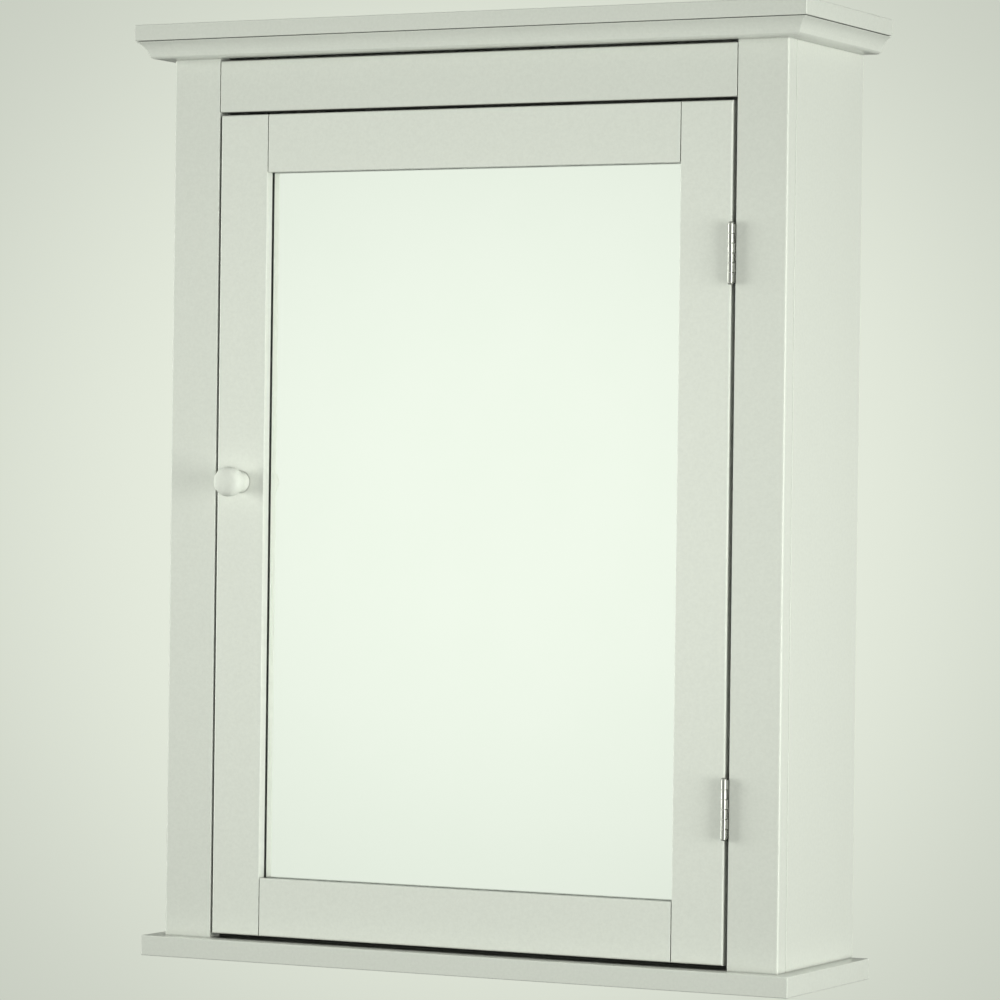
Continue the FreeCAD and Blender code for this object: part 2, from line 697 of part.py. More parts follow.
def ease_seams(body, half):
    """Ease a rail's front edges beside its seams; half is half of the rail's length."""
    place = half - sheet.get("seam_width")

    def is_beside_seam(edge):
        if not isinstance(edge.Curve, Part.Line):
            return False
        box = edge.BoundBox
        upright = box.ZLength > 1 and box.XLength < 0.01
        return upright and abs(abs(box.XMin) - place) < 0.01 and abs(box.YMin) < 0.01 > box.YLength

    round_edges(body, "seam_ease", is_beside_seam)


def moulding_blank(body, role, backward, length, start, sign):
    """Extrude the moulding's section, still without its cove, with a seam at its top."""
    sketch = new_sketch(body, role, start)
    out = [
        ("0", "0"),
        (f"{sign} * moulding_nose", "0"),
        (f"{sign} * moulding_nose", "moulding_nose_height"),
        (f"{sign} * moulding_depth", "moulding_height - moulding_fillet"),
        (f"{sign} * moulding_depth", "moulding_height - seam_width"),
        (f"{sign} * (moulding_depth - seam_depth)", "moulding_height - seam_width"),
        (f"{sign} * (moulding_depth - seam_depth)", "moulding_height"),
        ("0", "moulding_height"),
    ]
    draw_polygon(sketch, out)
    return pad(body, sketch, length, backward)


def make_moulding_front():
    """The front length of crown moulding, mitred at both ends."""
    place = ("0", FRONT, "floor_level + carcass_height - moulding_height")
    body = new_body("crown_moulding_front", place)
    half = "(carcass_width / 2 + moulding_depth)"
    moulding_blank(body, "YZ_Plane", False, f"2 * {half}", f"0 - {half}", -1)
    nose = sheet.get("moulding_nose")
    round_edges(body, "moulding_nose_round", edge_at(y=-nose, z=0))
    centre = ("0 - cove_out", "0 - cove_down")
    drill(body, "+X", f"0 - {half} - 1", centre, "cove_radius", f"2 * {half} + 2")
    inner = "0 - carcass_width / 2"

    def mitre(sketch):
        corners = [
            (inner, "0"),
            (f"{inner} - 2 * moulding_depth", "0"),
            (f"{inner} - 2 * moulding_depth", "0 - 2 * moulding_depth"),
        ]
        draw_polygon(sketch, corners)

    corner = cut(body, "+Z", "-1", mitre, "moulding_height + 2")
    spread(body, [corner], [], mirror=True)


def make_moulding_side(side):
    """A side length of crown moulding, mitred at the front."""
    sign = SIDES[side]
    bottom = "floor_level + carcass_height - moulding_height"
    place = (f"{sign} * carcass_width / 2", FRONT, bottom)
    body = new_body(f"crown_moulding_{side}", place)
    length = "(carcass_depth + moulding_depth)"
    moulding_blank(body, "XZ_Plane", False, length, "0 - carcass_depth", sign)
    nose = sheet.get("moulding_nose")
    round_edges(body, "moulding_nose_round", edge_at(x=sign * nose, z=0))
    centre = (f"{sign} * cove_out", "0 - cove_down")
    drill(body, "+Y", "0 - moulding_depth - 1", centre, "cove_radius", f"{length} + 2")

    def mitre(sketch):
        corners = [
            ("0", "0"),
            (f"{sign} * 2 * moulding_depth", "0 - 2 * moulding_depth"),
            ("0", "0 - 2 * moulding_depth"),
        ]
        draw_polygon(sketch, corners)

    cut(body, "+Z", "-1", mitre, "moulding_height + 2")


def make_hanging_rail():
    """The rail that the wall screws pass through."""
    place = ("0", "0 - back_thickness - panel_thickness", "0 - hanging_rail_below")
    width = f"(2 * {INNER_HALF})"
    body = board("hanging_rail", place, width, "panel_thickness", "hanging_rail_height")
    centre = ("0 - wall_hole_pitch / 2", "hanging_rail_below")
    hole = drill(body, "+Y", "-1", centre, "wall_hole_radius", "panel_thickness + 2")
    spread(body, [hole], [("X", 2, "wall_hole_pitch")])
    centre = ("panel_thickness / 2", "hanging_rail_below - rail_dowel_pitch / 2")
    radius = "dowel_radius + glue_gap"
    hole = drill(body, "+X", f"0 - {width} / 2", centre, radius, "dowel_long + glue_gap")
    spread(body, [hole], [("Z", 2, "rail_dowel_pitch")], mirror=True)


def make_back_panel():
    """The thin back, nailed into the side panels' rebates."""
    place = ("0", "0 - back_thickness", "floor_level")
    width = f"(2 * {INNER_HALF} + 2 * back_rebate)"
    body = board("back_panel", place, width, "back_thickness", "carcass_height")
    centre = ("0 - wall_hole_pitch / 2", "0 - floor_level")
    hole = drill(body, "+Y", "-1", centre, "wall_hole_radius", "back_thickness + 2")
    spread(body, [hole], [("X", 2, "wall_hole_pitch")])
    centre = (f"0 - {INNER_HALF} - back_rebate / 2", "nail_first")
    shank = drill(body, "+Y", "-1", centre, "nail_radius + glue_gap", "back_thickness + 2")
    head_depth = "nail_head_thickness + glue_gap"
    head = drill(body, "-Y", "back_thickness", centre, "nail_head + glue_gap", head_depth)
    across = ("X", 2, f"2 * {INNER_HALF} + back_rebate")
    spread(body, [shank, head], [across, ("Z", 5, "nail_run")])


def make_back_panel_nails():
    """Flat-headed nails, sunk just under the back panel's rear face."""
    place = (
        f"0 - {INNER_HALF} - back_rebate / 2",
        "0 - glue_gap",
        "floor_level + nail_first",
    )
    body = new_body("back_panel_nails", place)
    profile = [
        ("0", "0"),
        ("nail_head", "0"),
        ("nail_head", "0 - nail_head_thickness"),
        ("nail_radius", "0 - nail_head_thickness"),
        ("nail_radius", "nail_radius - nail_length"),
        ("0", "0 - nail_length"),
    ]
    nail = turned(body, "Y", profile)
    across = ("X", 2, f"2 * {INNER_HALF} + back_rebate")
    spread(body, [nail], [across, ("Z", 5, "nail_run")])


def make_fixed_shelf():
    """The middle shelf, dowelled between the side panels; it carries the catch."""
    depth = "(fixed_shelf_front - back_thickness)"
    place = ("0", "0 - fixed_shelf_front", "floor_level + fixed_shelf_level")
    width = f"(2 * {INNER_HALF})"
    body = board("fixed_shelf", place, width, depth, "panel_thickness")
    height = sheet.get("panel_thickness")
    round_edges(body, "edge_ease", any_of(edge_at(y=0, z=0), edge_at(y=0, z=height)))
    centre = ("fixed_shelf_front - panel_dowel_front", "panel_thickness / 2")
    radius = "dowel_radius + glue_gap"
    hole = drill(body, "+X", f"0 - {width} / 2", centre, radius, "dowel_long + glue_gap")
    spread(body, [hole], [("Y", 2, "panel_dowel_front - panel_dowel_rear")], mirror=True)
    centre = (f"{CATCH_X} - catch_hole_pitch / 2", f"fixed_shelf_front + {CATCH_SCREW_Y}")
    radius = "small_screw_radius + glue_gap"
    hole = drill(body, "+Z", "0", centre, radius, "leaf_screw_length - catch_flange_height")
    spread(body, [hole], [("X", 2, "catch_hole_pitch")])


def make_loose_shelf(name, level):
    """An adjustable shelf, resting on four pegs."""
    width = f"(2 * {INNER_HALF} - 2 * loose_shelf_play)"
    place = (
        "0",
        "0 - loose_shelf_rear - loose_shelf_depth",
        f"floor_level + {level} + peg_tongue_top",
    )
    body = board(f"shelf_{name}", place, width, "loose_shelf_depth", "panel_thickness")
    height = sheet.get("panel_thickness")
    round_edges(body, "edge_ease", any_of(edge_at(y=0, z=0), edge_at(y=0, z=height)))


def make_shelf_pegs():
    """Eight pegs, each with a collar and a flat tongue under the shelf."""
    place = ("0", "0 - peg_rear", "floor_level + peg_level_lower")
    body = new_body("shelf_pegs", place)
    wall = f"(0 - {INNER_HALF})"
    peg = new_sketch(body, "YZ_Plane", f"{wall} - peg_length")
    draw_circle(peg, ("0", "0"), "peg_radius")
    shank = pad(body, peg, "peg_length + peg_collar_thickness")
    rim = new_sketch(body, "YZ_Plane", wall)
    draw_circle(rim, ("0", "0"), "peg_collar_radius")
    collar = pad(body, rim, "peg_collar_thickness")
    flat = new_sketch(body, "YZ_Plane", wall)
    low = ("0 - peg_tongue_width / 2", "peg_tongue_top - peg_tongue_height")
    draw_rectangle(flat, low, ("peg_tongue_width / 2", "peg_tongue_top"))
    tongue = pad(body, flat, "peg_tongue_length + peg_collar_thickness")

    def above_tongue(sketch):
        top = ("peg_collar_radius + 1", "peg_collar_radius + 1")
        draw_rectangle(sketch, ("0 - peg_collar_radius - 1", "peg_tongue_top"), top)

    trim = cut(body, "+X", f"{wall} + loose_shelf_play / 2", above_tongue, "peg_tongue_length")
    rise = "peg_level_upper - peg_level_lower"
    steps = [("Y", 2, "-peg_spacing"), ("Z", 2, rise)]
    spread(body, [shank, collar, tongue, trim], steps, mirror=True)


def make_carcass_dowels():
    """The dowels that join shelf, rails and face frame to the carcass."""
    place = (
        "0",
        "0 - panel_dowel_rear",
        "floor_level + fixed_shelf_level + panel_thickness / 2",
    )
    back = f"({INNER_HALF} + dowel_short)"
    ahead = f"(dowel_long - {INNER_HALF})"
    steps = [("Y", 2, "-panel_dowel_front - panel_dowel_rear")]
    dowels("fixed_shelf_dowels", place, "X", back, ahead, steps, mirror=True)
    place = ("0", "0 - back_thickness - panel_thickness / 2", "0 - rail_dowel_pitch / 2")
    steps = [("Z", 2, "rail_dowel_pitch")]
    dowels("hanging_rail_dowels", place, "X", back, ahead, steps, mirror=True)
    place = (
        "0 - carcass_width / 2 + panel_thickness / 2",
        FRAME_BACK,
        "floor_level + frame_dowel_first",
    )
    across = ("X", 2, "carcass_width - panel_thickness")
    steps = [across, ("Z", 3, "2 * frame_dowel_pitch")]
    dowels("face_stile_dowels", place, "Y", "dowel_short", "dowel_long", steps)
    half = "(carcass_width / 2 - face_stile_width)"
    place = (
        "0",
        f"{FRONT} + frame_thickness / 2",
        f"{RAIL_TOP} - face_rail_height + rail_dowel_edge",
    )
    back = f"({half} + dowel_long)"
    ahead = f"(dowel_long - {half})"
    steps = [("Z", 2, "rail_dowel_pitch")]
    dowels("top_rail_dowels", place, "X", back, ahead, steps, mirror=True)


def make_door_stile(side):
    """A door upright, rebated at the rear for the mirror."""
    sign = SIDES[side]
    edge = {"left": DOOR_LEFT, "right": DOOR_RIGHT}[side]
    body = new_body(f"door_stile_{side}", (edge, FRONT, DOOR_BOTTOM))
    inner = f"{-sign} * door_stile_width"
    sketch = new_sketch(body, "XY_Plane")
    draw_rectangle(sketch, ("0", "0"), (inner, "frame_thickness"))
    pad(body, sketch, "door_height")
    width = sheet.get("door_stile_width")
    top = sheet.get("door_height")
    ends = any_of(edge_at(x=0, y=0), edge_at(y=0, z=0), edge_at(y=0, z=top))
    round_edges(body, "edge_round", ends)
    round_edges(body, "edge_ease", edge_at(x=-sign * width, y=0))

    def rebate(sketch):
        far = f"{-sign} * (door_stile_width - mirror_rebate)"
        low = (far, "door_rail_height - mirror_rebate")
        high = (f"{inner} * 1.1", "door_height - door_rail_height + mirror_rebate")
        draw_rectangle(sketch, low, high)

    cut(body, "-Y", "frame_thickness", rebate, "frame_thickness - mirror_recess")
    outward = {-1: "-X", 1: "+X"}[sign]
    bore_for_door_dowels(body, outward, inner, "dowel_long")
    bore_door_stile_for_clips(body, sign)
    if side == "right":
        mortise_for_hinges(body)
        y = "leaf_hole_back - pivot_forward"
        bore_for_leaf_screws(body, "-X", "0", y, DOOR_BOTTOM)
    else:
        bore_for_knob_and_strike(body)


def bore_for_door_dowels(body, direction, start, depth):
    """Holes for two dowels at each end of a door stile."""
    centre = ("frame_thickness / 2", "rail_dowel_edge")
    radius = "dowel_radius + glue_gap"
    hole = drill(body, direction, start, centre, radius, f"{depth} + glue_gap")
    run = "door_height - 2 * rail_dowel_edge - door_dowel_pitch"
    spread(body, [hole], [("Z", 2, "door_dowel_pitch"), ("Z", 2, run)])


def bore_door_stile_for_clips(body, sign):
    """Pilot holes for the screws of the side clips."""
    x = f"{-sign} * ({CLIP_SCREW_INSET})"
    radius = "small_screw_radius + glue_gap"
    centre = (x, "clip_side_first")
    hole = drill(body, "-Y", "frame_thickness", centre, radius, "clip_screw_length")
    spread(body, [hole], [("Z", 4, "3 * clip_side_pitch")])


def mortise_for_hinges(body):
    """Shallow recesses for the door leaves of both hinges."""
    low = f"{HINGE_BOTTOM['lower']} - {DOOR_BOTTOM} - mortise_play"
    high = f"{HINGE_BOTTOM['lower']} - {DOOR_BOTTOM} + hinge_height + mortise_play"

    def leaf_outline(sketch):
        back = "leaf_end - pivot_forward + mortise_play"
        draw_rectangle(sketch, ("-1", low), (back, high))

    recess = cut(body, "-X", "0", leaf_outline, "leaf_thickness")
    spread(body, [recess], [("Z", 2, HINGE_SPREAD)])


def bore_for_knob_and_strike(body):
    """The through hole for the knob's screw and the pilot hole for the strike plate's."""
    centre = ("door_stile_width / 2", "knob_level")
    radius = "knob_screw_radius + glue_gap"
    drill(body, "+Y", "-1", centre, radius, "frame_thickness + 2")
    centre = ("catch_inset", f"{CATCH_MIDDLE} - {DOOR_BOTTOM}")
    radius = "small_screw_radius + glue_gap"
    drill(body, "-Y", "frame_thickness", centre, radius, "clip_screw_length")


def make_door_rail(name):
    """A door rail between the stiles, rebated at the rear for the mirror."""
    width = "(door_width - 2 * door_stile_width)"
    top_rail = name == "top"
    lift = "door_height - door_rail_height" if top_rail else "0"
    place = (DOOR_MIDDLE, FRONT, f"{DOOR_BOTTOM} + {lift}")
    body = board(f"door_rail_{name}", place, width, "frame_thickness", "door_rail_height")
    open_seams(body, width)
    height = sheet.get("door_rail_height")
    outer = height if top_rail else 0
    round_edges(body, "edge_round", edge_at(y=0, z=outer))
    round_edges(body, "edge_ease", edge_at(y=0, z=height - outer))
    ease_seams(body, sheet.get("door_width") / 2 - sheet.get("door_stile_width"))
    low = "-1" if top_rail else "door_rail_height - mirror_rebate"
    high = "mirror_rebate" if top_rail else "door_rail_height + 1"

    def rebate(sketch):
        draw_rectangle(sketch, (f"-1 - {width} / 2", low), (f"1 + {width} / 2", high))

    cut(body, "-Y", "frame_thickness", rebate, "frame_thickness - mirror_recess")
    upper = "door_rail_height - rail_dowel_edge - door_dowel_pitch"
    centre = ("frame_thickness / 2", upper if top_rail else "rail_dowel_edge")
    radius = "dowel_radius + glue_gap"
    hole = drill(body, "+X", f"0 - {width} / 2", centre, radius, "dowel_long + glue_gap")
    spread(body, [hole], [("Z", 2, "door_dowel_pitch")], mirror=True)
    level = CLIP_SCREW_OUT if top_rail else f"door_rail_height - {CLIP_SCREW_OUT}"
    centre = ("clip_end_inset - door_width / 2", level)
    radius = "small_screw_radius + glue_gap"
    hole = drill(body, "-Y", "frame_thickness", centre, radius, "clip_screw_length")
    spread(body, [hole], [("X", 2, "door_width - 2 * clip_end_inset")])


def make_door_dowels():
    """Eight dowels, two at each corner of the door frame."""
    half = "(door_width / 2 - door_stile_width)"
    place = (DOOR_MIDDLE, f"{FRONT} + frame_thickness / 2", f"{DOOR_BOTTOM} + rail_dowel_edge")
    back = f"({half} + dowel_long)"
    ahead = f"(dowel_long - {half})"
    run = "door_height - 2 * rail_dowel_edge - door_dowel_pitch"
    steps = [("Z", 2, "door_dowel_pitch"), ("Z", 2, run)]
    dowels("door_frame_dowels", place, "X", back, ahead, steps, mirror=True)


def make_mirror():
    """The mirror glass and the board behind it, in the door frame's rebate."""
    bottom = f"{DOOR_BOTTOM} + door_rail_height - mirror_rebate + mirror_play"
    glass = (DOOR_MIDDLE, f"{FRONT} + mirror_recess", bottom)
    board("mirror_glass", glass, MIRROR_WIDTH, "mirror_thickness", MIRROR_HEIGHT)
    behind = (DOOR_MIDDLE, f"{FRONT} + mirror_recess + mirror_thickness", bottom)
    thickness = "(frame_thickness - mirror_recess - mirror_thickness)"
    board("mirror_backing", behind, MIRROR_WIDTH, thickness, MIRROR_HEIGHT)


def make_mirror_clips():
    """Flat clips that hold the mirror backing: eight at the sides, four at the ends."""
    place = (DOOR_MIDDLE, FRAME_BACK, DOOR_BOTTOM)
    body = new_body("mirror_clips", place)
    side = new_sketch(body, "XZ_Plane")
    x = f"({CLIP_SCREW_INSET} - door_width / 2)"
    draw_rectangle(
        side,
        (f"{x} - clip_hole", "clip_side_first - clip_width / 2"),
        (f"{x} - clip_hole + clip_length", "clip_side_first + clip_width / 2"),
    )
    side_clip = pad(body, side, "clip_thickness", backward=True)
    radius = "small_screw_radius + glue_gap"
    side_hole = drill(body, "+Y", "-1", (x, "clip_side_first"), radius, "clip_thickness + 2")
    steps = [("Z", 4, "3 * clip_side_pitch")]
    spread(body, [side_clip, side_hole], steps, mirror=True)
    for name in ("bottom", "top"):
        level = END_CLIP_LEVEL[name]
        sign = {"bottom": 1, "top": -1}[name]
        end = new_sketch(body, "XZ_Plane")
        x = "clip_end_inset - door_width / 2"
        draw_rectangle(
            end,
            (f"{x} - clip_width / 2", f"{level} - {sign} * clip_hole"),
            (f"{x} + clip_width / 2", f"{level} + {sign} * (clip_length - clip_hole)"),
        )
        end_clip = pad(body, end, "clip_thickness", backward=True)
        end_hole = drill(body, "+Y", "-1", (x, level), radius, "clip_thickness + 2")
        spread(body, [end_clip, end_hole], [("X", 2, "door_width - 2 * clip_end_inset")])


def pan_screw(body, x, z):
    """One pan-headed clip screw at a place on the body's XZ plane, as its features."""
    head = new_sketch(body, "XZ_Plane", "0 - clip_thickness")
    draw_circle(head, (x, z), "small_screw_head")
    cap = pad(body, head, "clip_head_height", backward=True)
    shank = new_sketch(body, "XZ_Plane", "0 - clip_thickness")
    draw_circle(shank, (x, z), "small_screw_radius")
    stem = pad(body, shank, "clip_screw_length")
    top = "clip_thickness + clip_head_height"
    return [cap, stem, cut_cross(body, "-Y", top, (x, z), "small_screw_head")]


def make_clip_screws():
    """One screw for each mirror clip."""
    body = new_body("mirror_clip_screws", (DOOR_MIDDLE, FRAME_BACK, DOOR_BOTTOM))
    x = f"({CLIP_SCREW_INSET} - door_width / 2)"
    parts = pan_screw(body, x, "clip_side_first")
    spread(body, parts, [("Z", 4, "3 * clip_side_pitch")], mirror=True)
    for name in ("bottom", "top"):
        parts = pan_screw(body, "(clip_end_inset - door_width / 2)", END_CLIP_LEVEL[name])
        spread(body, parts, [("X", 2, "door_width - 2 * clip_end_inset")])


def make_hinge_leaf(hinge, name, side):
    """A hinge leaf with three knuckles: side is 1 for the frame leaf, -1 for the door leaf."""
    body = new_body(f"hinge_{hinge}_{name}_leaf", (PIVOT_X, PIVOT_Y, HINGE_BOTTOM[hinge]))
    near = f"{side} * (barrel_radius - leaf_thickness)"
    far = f"{side} * barrel_radius"
    plate = new_sketch(body, "XY_Plane")
    draw_rectangle(plate, (near, "leaf_start"), (far, "leaf_end"))
    pad(body, plate, "hinge_height")
    start = {1: KNUCKLE_PITCH, -1: "0"}[side]
    start = f"{start} + knuckle_gap / 2"
    height = f"{KNUCKLE_PITCH} - knuckle_gap"
    strap = new_sketch(body, "XY_Plane", start)
    draw_rectangle(strap, (near, "0"), (far, "leaf_start"))
    neck = pad(body, strap, height)
    roll = new_sketch(body, "XY_Plane", start)
    draw_circle(roll, ("0", "0"), "barrel_radius")
    draw_circle(roll, ("0", "0"), "pin_radius + pin_clearance")
    ring = pad(body, roll, height)
    spread(body, [neck, ring], [("Z", 3, f"4 * {KNUCKLE_PITCH}")])
    direction = {1: "-X", -1: "+X"}[side]
    radius = "small_screw_radius + glue_gap"
    centre = ("leaf_hole_back", LEAF_HOLE_LOW)
    hole = drill(body, direction, far, centre, radius, "leaf_thickness")
    spread(body, [hole], [("Z", 2, "leaf_hole_pitch")])
    level = side * (sheet.get("barrel_radius") - sheet.get("leaf_thickness"))
    depth = "small_screw_head - small_screw_radius"
    countersink(body, depth, "small_screw_radius", "x", level)


def make_hinge_pin(hinge):
    """The pin through a hinge's knuckles, with a domed tip at each end."""
    body = new_body(f"hinge_{hinge}_pin", (PIVOT_X, PIVOT_Y, HINGE_BOTTOM[hinge]))
    ends = {-1: "0", 1: "hinge_height"}
    dome = [(1.0, 0.3), (0.93, 0.62), (0.72, 0.86), (0.38, 0.98)]
    profile = []
    for sign, end in ends.items():
        rise = [
            ("pin_radius", f"{end} + {sign} * pin_tip_gap"),
            ("pin_tip_radius", f"{end} + {sign} * pin_tip_gap"),
        ]
        for out, up in dome:
            rise.append((f"{out} * pin_tip_radius", f"{end} + {sign * up} * pin_tip_height"))
        rise.append(("0", f"{end} + {sign} * pin_tip_height"))
        profile += rise if sign > 0 else rise[::-1]
    turned(body, "Z", profile)


def make_hinge_screws():
    """Countersunk screws through the leaves, four into the frame and four into the door."""
    y = f"{PIVOT_Y} + leaf_hole_back"
    z = f"{HINGE_BOTTOM['lower']} + {LEAF_HOLE_LOW}"
    steps = [("Z", 2, "leaf_hole_pitch"), ("Z", 2, HINGE_SPREAD)]
    sizes = ("small_screw_radius", "small_screw_head", "leaf_screw_length")
    reach = "(barrel_radius - leaf_thickness)"
    screws("hinge_frame_screws", (f"{PIVOT_X} + {reach}", y, z), "X", "+", *sizes, steps)
    screws("hinge_door_screws", (f"{PIVOT_X} - {reach}", y, z), "X", "-", *sizes, steps)


def make_catch():
    """A magnetic catch under the fixed shelf: housing, magnet, pole plates and screws."""
    place = (CATCH_X, CATCH_FRONT, f"{CATCH_TOP} - catch_height")
    body = new_body("catch_housing", (place[0], f"{place[1]} + pole_proud", place[2]))
    block = new_sketch(body, "XY_Plane")
    draw_rectangle(block, ("0 - catch_width / 2", "0"), ("catch_width / 2", "catch_depth"))
    pad(body, block, "catch_height")
    flange = new_sketch(body, "XY_Plane", "catch_height - catch_flange_height")
    low = ("0 - catch_flange_width / 2", "catch_depth - catch_flange_depth")
    draw_rectangle(flange, low, ("catch_flange_width / 2", "catch_depth"))
    pad(body, flange, "catch_flange_height")

    def hollow(sketch):
        low = ("0 - catch_cavity_width / 2", "catch_wall")
        high = ("catch_cavity_width / 2", "catch_height - catch_flange_height")
        draw_rectangle(sketch, low, high)

    cut(body, "+Y", "-1", hollow, "catch_cavity_depth + 1")
    centre = ("0 - catch_hole_pitch / 2", "catch_depth - catch_flange_depth / 2")
    radius = "small_screw_radius + glue_gap"
    hole = drill(body, "-Z", "catch_height + 1", centre, radius, "catch_flange_height + 2")
    spread(body, [hole], [("X", 2, "catch_hole_pitch")])
    make_catch_core()


def make_catch_core():
    """The magnet between two steel pole plates, and the two screws of the catch."""
    lift = "catch_wall"
    gap = "(catch_height - catch_flange_height - catch_wall - 2 * pole_thickness)"
    bottom = f"({CATCH_TOP} - catch_height + {lift})"
    plates = new_body("catch_pole_plates", (CATCH_X, CATCH_FRONT, bottom))
    sketch = new_sketch(plates, "XY_Plane")
    high = ("pole_width / 2", "catch_cavity_depth + pole_proud")
    draw_rectangle(sketch, ("0 - pole_width / 2", "0"), high)
    plate = pad(plates, sketch, "pole_thickness")
    spread(plates, [plate], [("Z", 2, f"{gap} + pole_thickness")])
    place = (CATCH_X, f"{CATCH_FRONT} + pole_proud + 1", f"{bottom} + pole_thickness")
    board("catch_magnet", place, "pole_width", "magnet_depth", gap)
    flange_bottom = f"{CATCH_TOP} - catch_flange_height"
    place = (
        f"{CATCH_X} - catch_hole_pitch / 2",
        f"{CATCH_FRONT} + pole_proud + catch_depth - catch_flange_depth / 2",
        flange_bottom,
    )
    body = new_body("catch_screws", place)
    profile = [
        ("0", "0 - clip_head_height"),
        ("0.7 * small_screw_head", "0 - clip_head_height"),
        ("small_screw_head", "0 - 0.5 * clip_head_height"),
        ("small_screw_head", "0"),
        ("small_screw_radius", "0"),
        ("small_screw_radius", "leaf_screw_length - 2 * small_screw_radius"),
        ("0", "leaf_screw_length - small_screw_radius"),
    ]
    screw = turned(body, "Z", profile)
    recess = cut_cross(body, "+Z", "0 - clip_head_height", ("0", "0"), "small_screw_head")
    spread(body, [screw, recess], [("X", 2, "catch_hole_pitch")])


def make_strike():
    """The steel strike plate on the door, and its screw."""
    place = (CATCH_X, FRAME_BACK, f"{CATCH_MIDDLE} - strike_height / 2")
    body = board("strike_plate", place, "strike_width", "strike_thickness", "strike_height")
    centre = ("0", "strike_height / 2")
    radius = "small_screw_radius + glue_gap"
    drill(body, "+Y", "-1", centre, radius, "strike_thickness + 2")
    level = sheet.get("strike_thickness")
    countersink(body, "strike_thickness * 0.9", "small_screw_radius", "y", level)
    place = (CATCH_X, f"{FRAME_BACK} + strike_thickness", CATCH_MIDDLE)
    head = "(small_screw_radius + 0.9 * strike_thickness)"
    sizes = ("small_screw_radius", head, "clip_screw_length")
    screws("strike_screw", place, "Y", "-", *sizes, [])


def make_knob():
    """A turned knob with a foot, a neck and a rounded head, and its screw."""
    place = (f"{DOOR_LEFT} + door_stile_width / 2", FRONT, f"{DOOR_BOTTOM} + knob_level")
    body = new_body("knob", place)
    base = new_sketch(body, "XZ_Plane")
    draw_circle(base, ("0", "0"), "knob_foot_radius")
    pad(body, base, "knob_foot_height")
    stem = new_sketch(body, "XZ_Plane")
    draw_circle(stem, ("0", "0"), "knob_neck_radius")
    pad(body, stem, "knob_neck_end")
    head = body.newObject("PartDesign::AdditiveEllipsoid", "Head")
    head.AttachmentSupport = [(origin_feature(body, "XZ_Plane"), "")]
    head.MapMode = "FlatFace"
    bind(head, Radius1="knob_half_depth", Radius2="knob_radius", Radius3="knob_radius")
    head.setExpression("AttachmentOffset.Base.z", cells("knob_projection - knob_half_depth"))
    foot_top = sheet.get("knob_foot_height")
    neck = sheet.get("knob_neck_radius")

    def at_neck(edge):
        curve = edge.Curve
        if not isinstance(curve, Part.Circle) or abs(curve.Radius - neck) > 0.01:
            return False
        return abs(curve.Center.y + foot_top) < 0.01

    round_edges(body, "1.8 * edge_ease", at_neck)
    radius = "knob_screw_radius + glue_gap"
    drill(body, "-Y", "1", ("0", "0"), radius, "knob_bore_depth + 1")
    body = new_body("knob_screw", (place[0], FRAME_BACK, place[2]))
    profile = [
        ("0", "knob_screw_head_height"),
        ("0.6 * knob_screw_head", "knob_screw_head_height"),
        ("knob_screw_head", "0.5 * knob_screw_head_height"),
        ("knob_screw_head", "0"),
        ("knob_screw_radius", "0"),
        ("knob_screw_radius", "0 - frame_thickness - knob_screw_grip"),
        ("0", "0 - frame_thickness - knob_screw_grip"),
    ]
    turned(body, "Y", profile)
    cut_cross(body, "-Y", "knob_screw_head_height", ("0", "0"), "knob_screw_head")


def make_cabinet():
    """Every sub-part, carcass first."""
    make_base_board()
    make_top_board()
    make_board_screws()
    for side in SIDES:
        make_side_panel(side)
        make_face_stile(side)
        make_moulding_side(side)
        make_door_stile(side)
    make_face_top_rail()
    make_moulding_front()
    make_hanging_rail()
    make_back_panel()
    make_back_panel_nails()
    make_fixed_shelf()
    make_loose_shelf("lower", "peg_level_lower")
    make_loose_shelf("upper", "peg_level_upper")
    make_shelf_pegs()
    make_carcass_dowels()
    make_door_rail("top")
    make_door_rail("bottom")
    make_door_dowels()
    make_mirror()
    make_mirror_clips()
    make_clip_screws()
    for hinge in HINGE_BOTTOM:
        make_hinge_leaf(hinge, "frame", 1)
        make_hinge_leaf(hinge, "door", -1)
        make_hinge_pin(hinge)
    make_hinge_screws()
    make_catch()
    make_strike()
    make_knob()


def check_document():
    """Stop if a feature failed, a cut removed nothing or a shape isn't sound."""
    for item in doc.Objects:
        if "Invalid" in item.State or "Error" in item.State:
            raise RuntimeError(f"{item.Label}: {item.State}")
        if item.TypeId == "PartDesign::Pocket":
            before = item.BaseFeature.Shape.Volume
            if before - item.Shape.Volume < 0.1:
                raise RuntimeError(f"{item.Label}: cuts nothing")
    for piece in pieces:
        if piece.Shape.isNull() or not piece.Shape.isValid():
            raise RuntimeError(f"{piece.Label}: shape isn't sound")


def write_parts():
    """One STEP file for each sub-part, named by its label."""
    os.makedirs("parts", exist_ok=True)
    for piece in pieces:
        piece.Shape.exportStep(os.path.join("parts", piece.Label + ".step"))


fill_sheet()
make_cabinet()
doc.recompute()
check_document()
write_parts()
for piece in pieces:
    print(piece.Label, len(piece.Shape.Solids), round(piece.Shape.Volume))
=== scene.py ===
"""Looks of the hanging wall cabinet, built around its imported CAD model. Lengths are metres."""

import json
import math

import bmesh
import bpy
from mathutils import Matrix, Vector


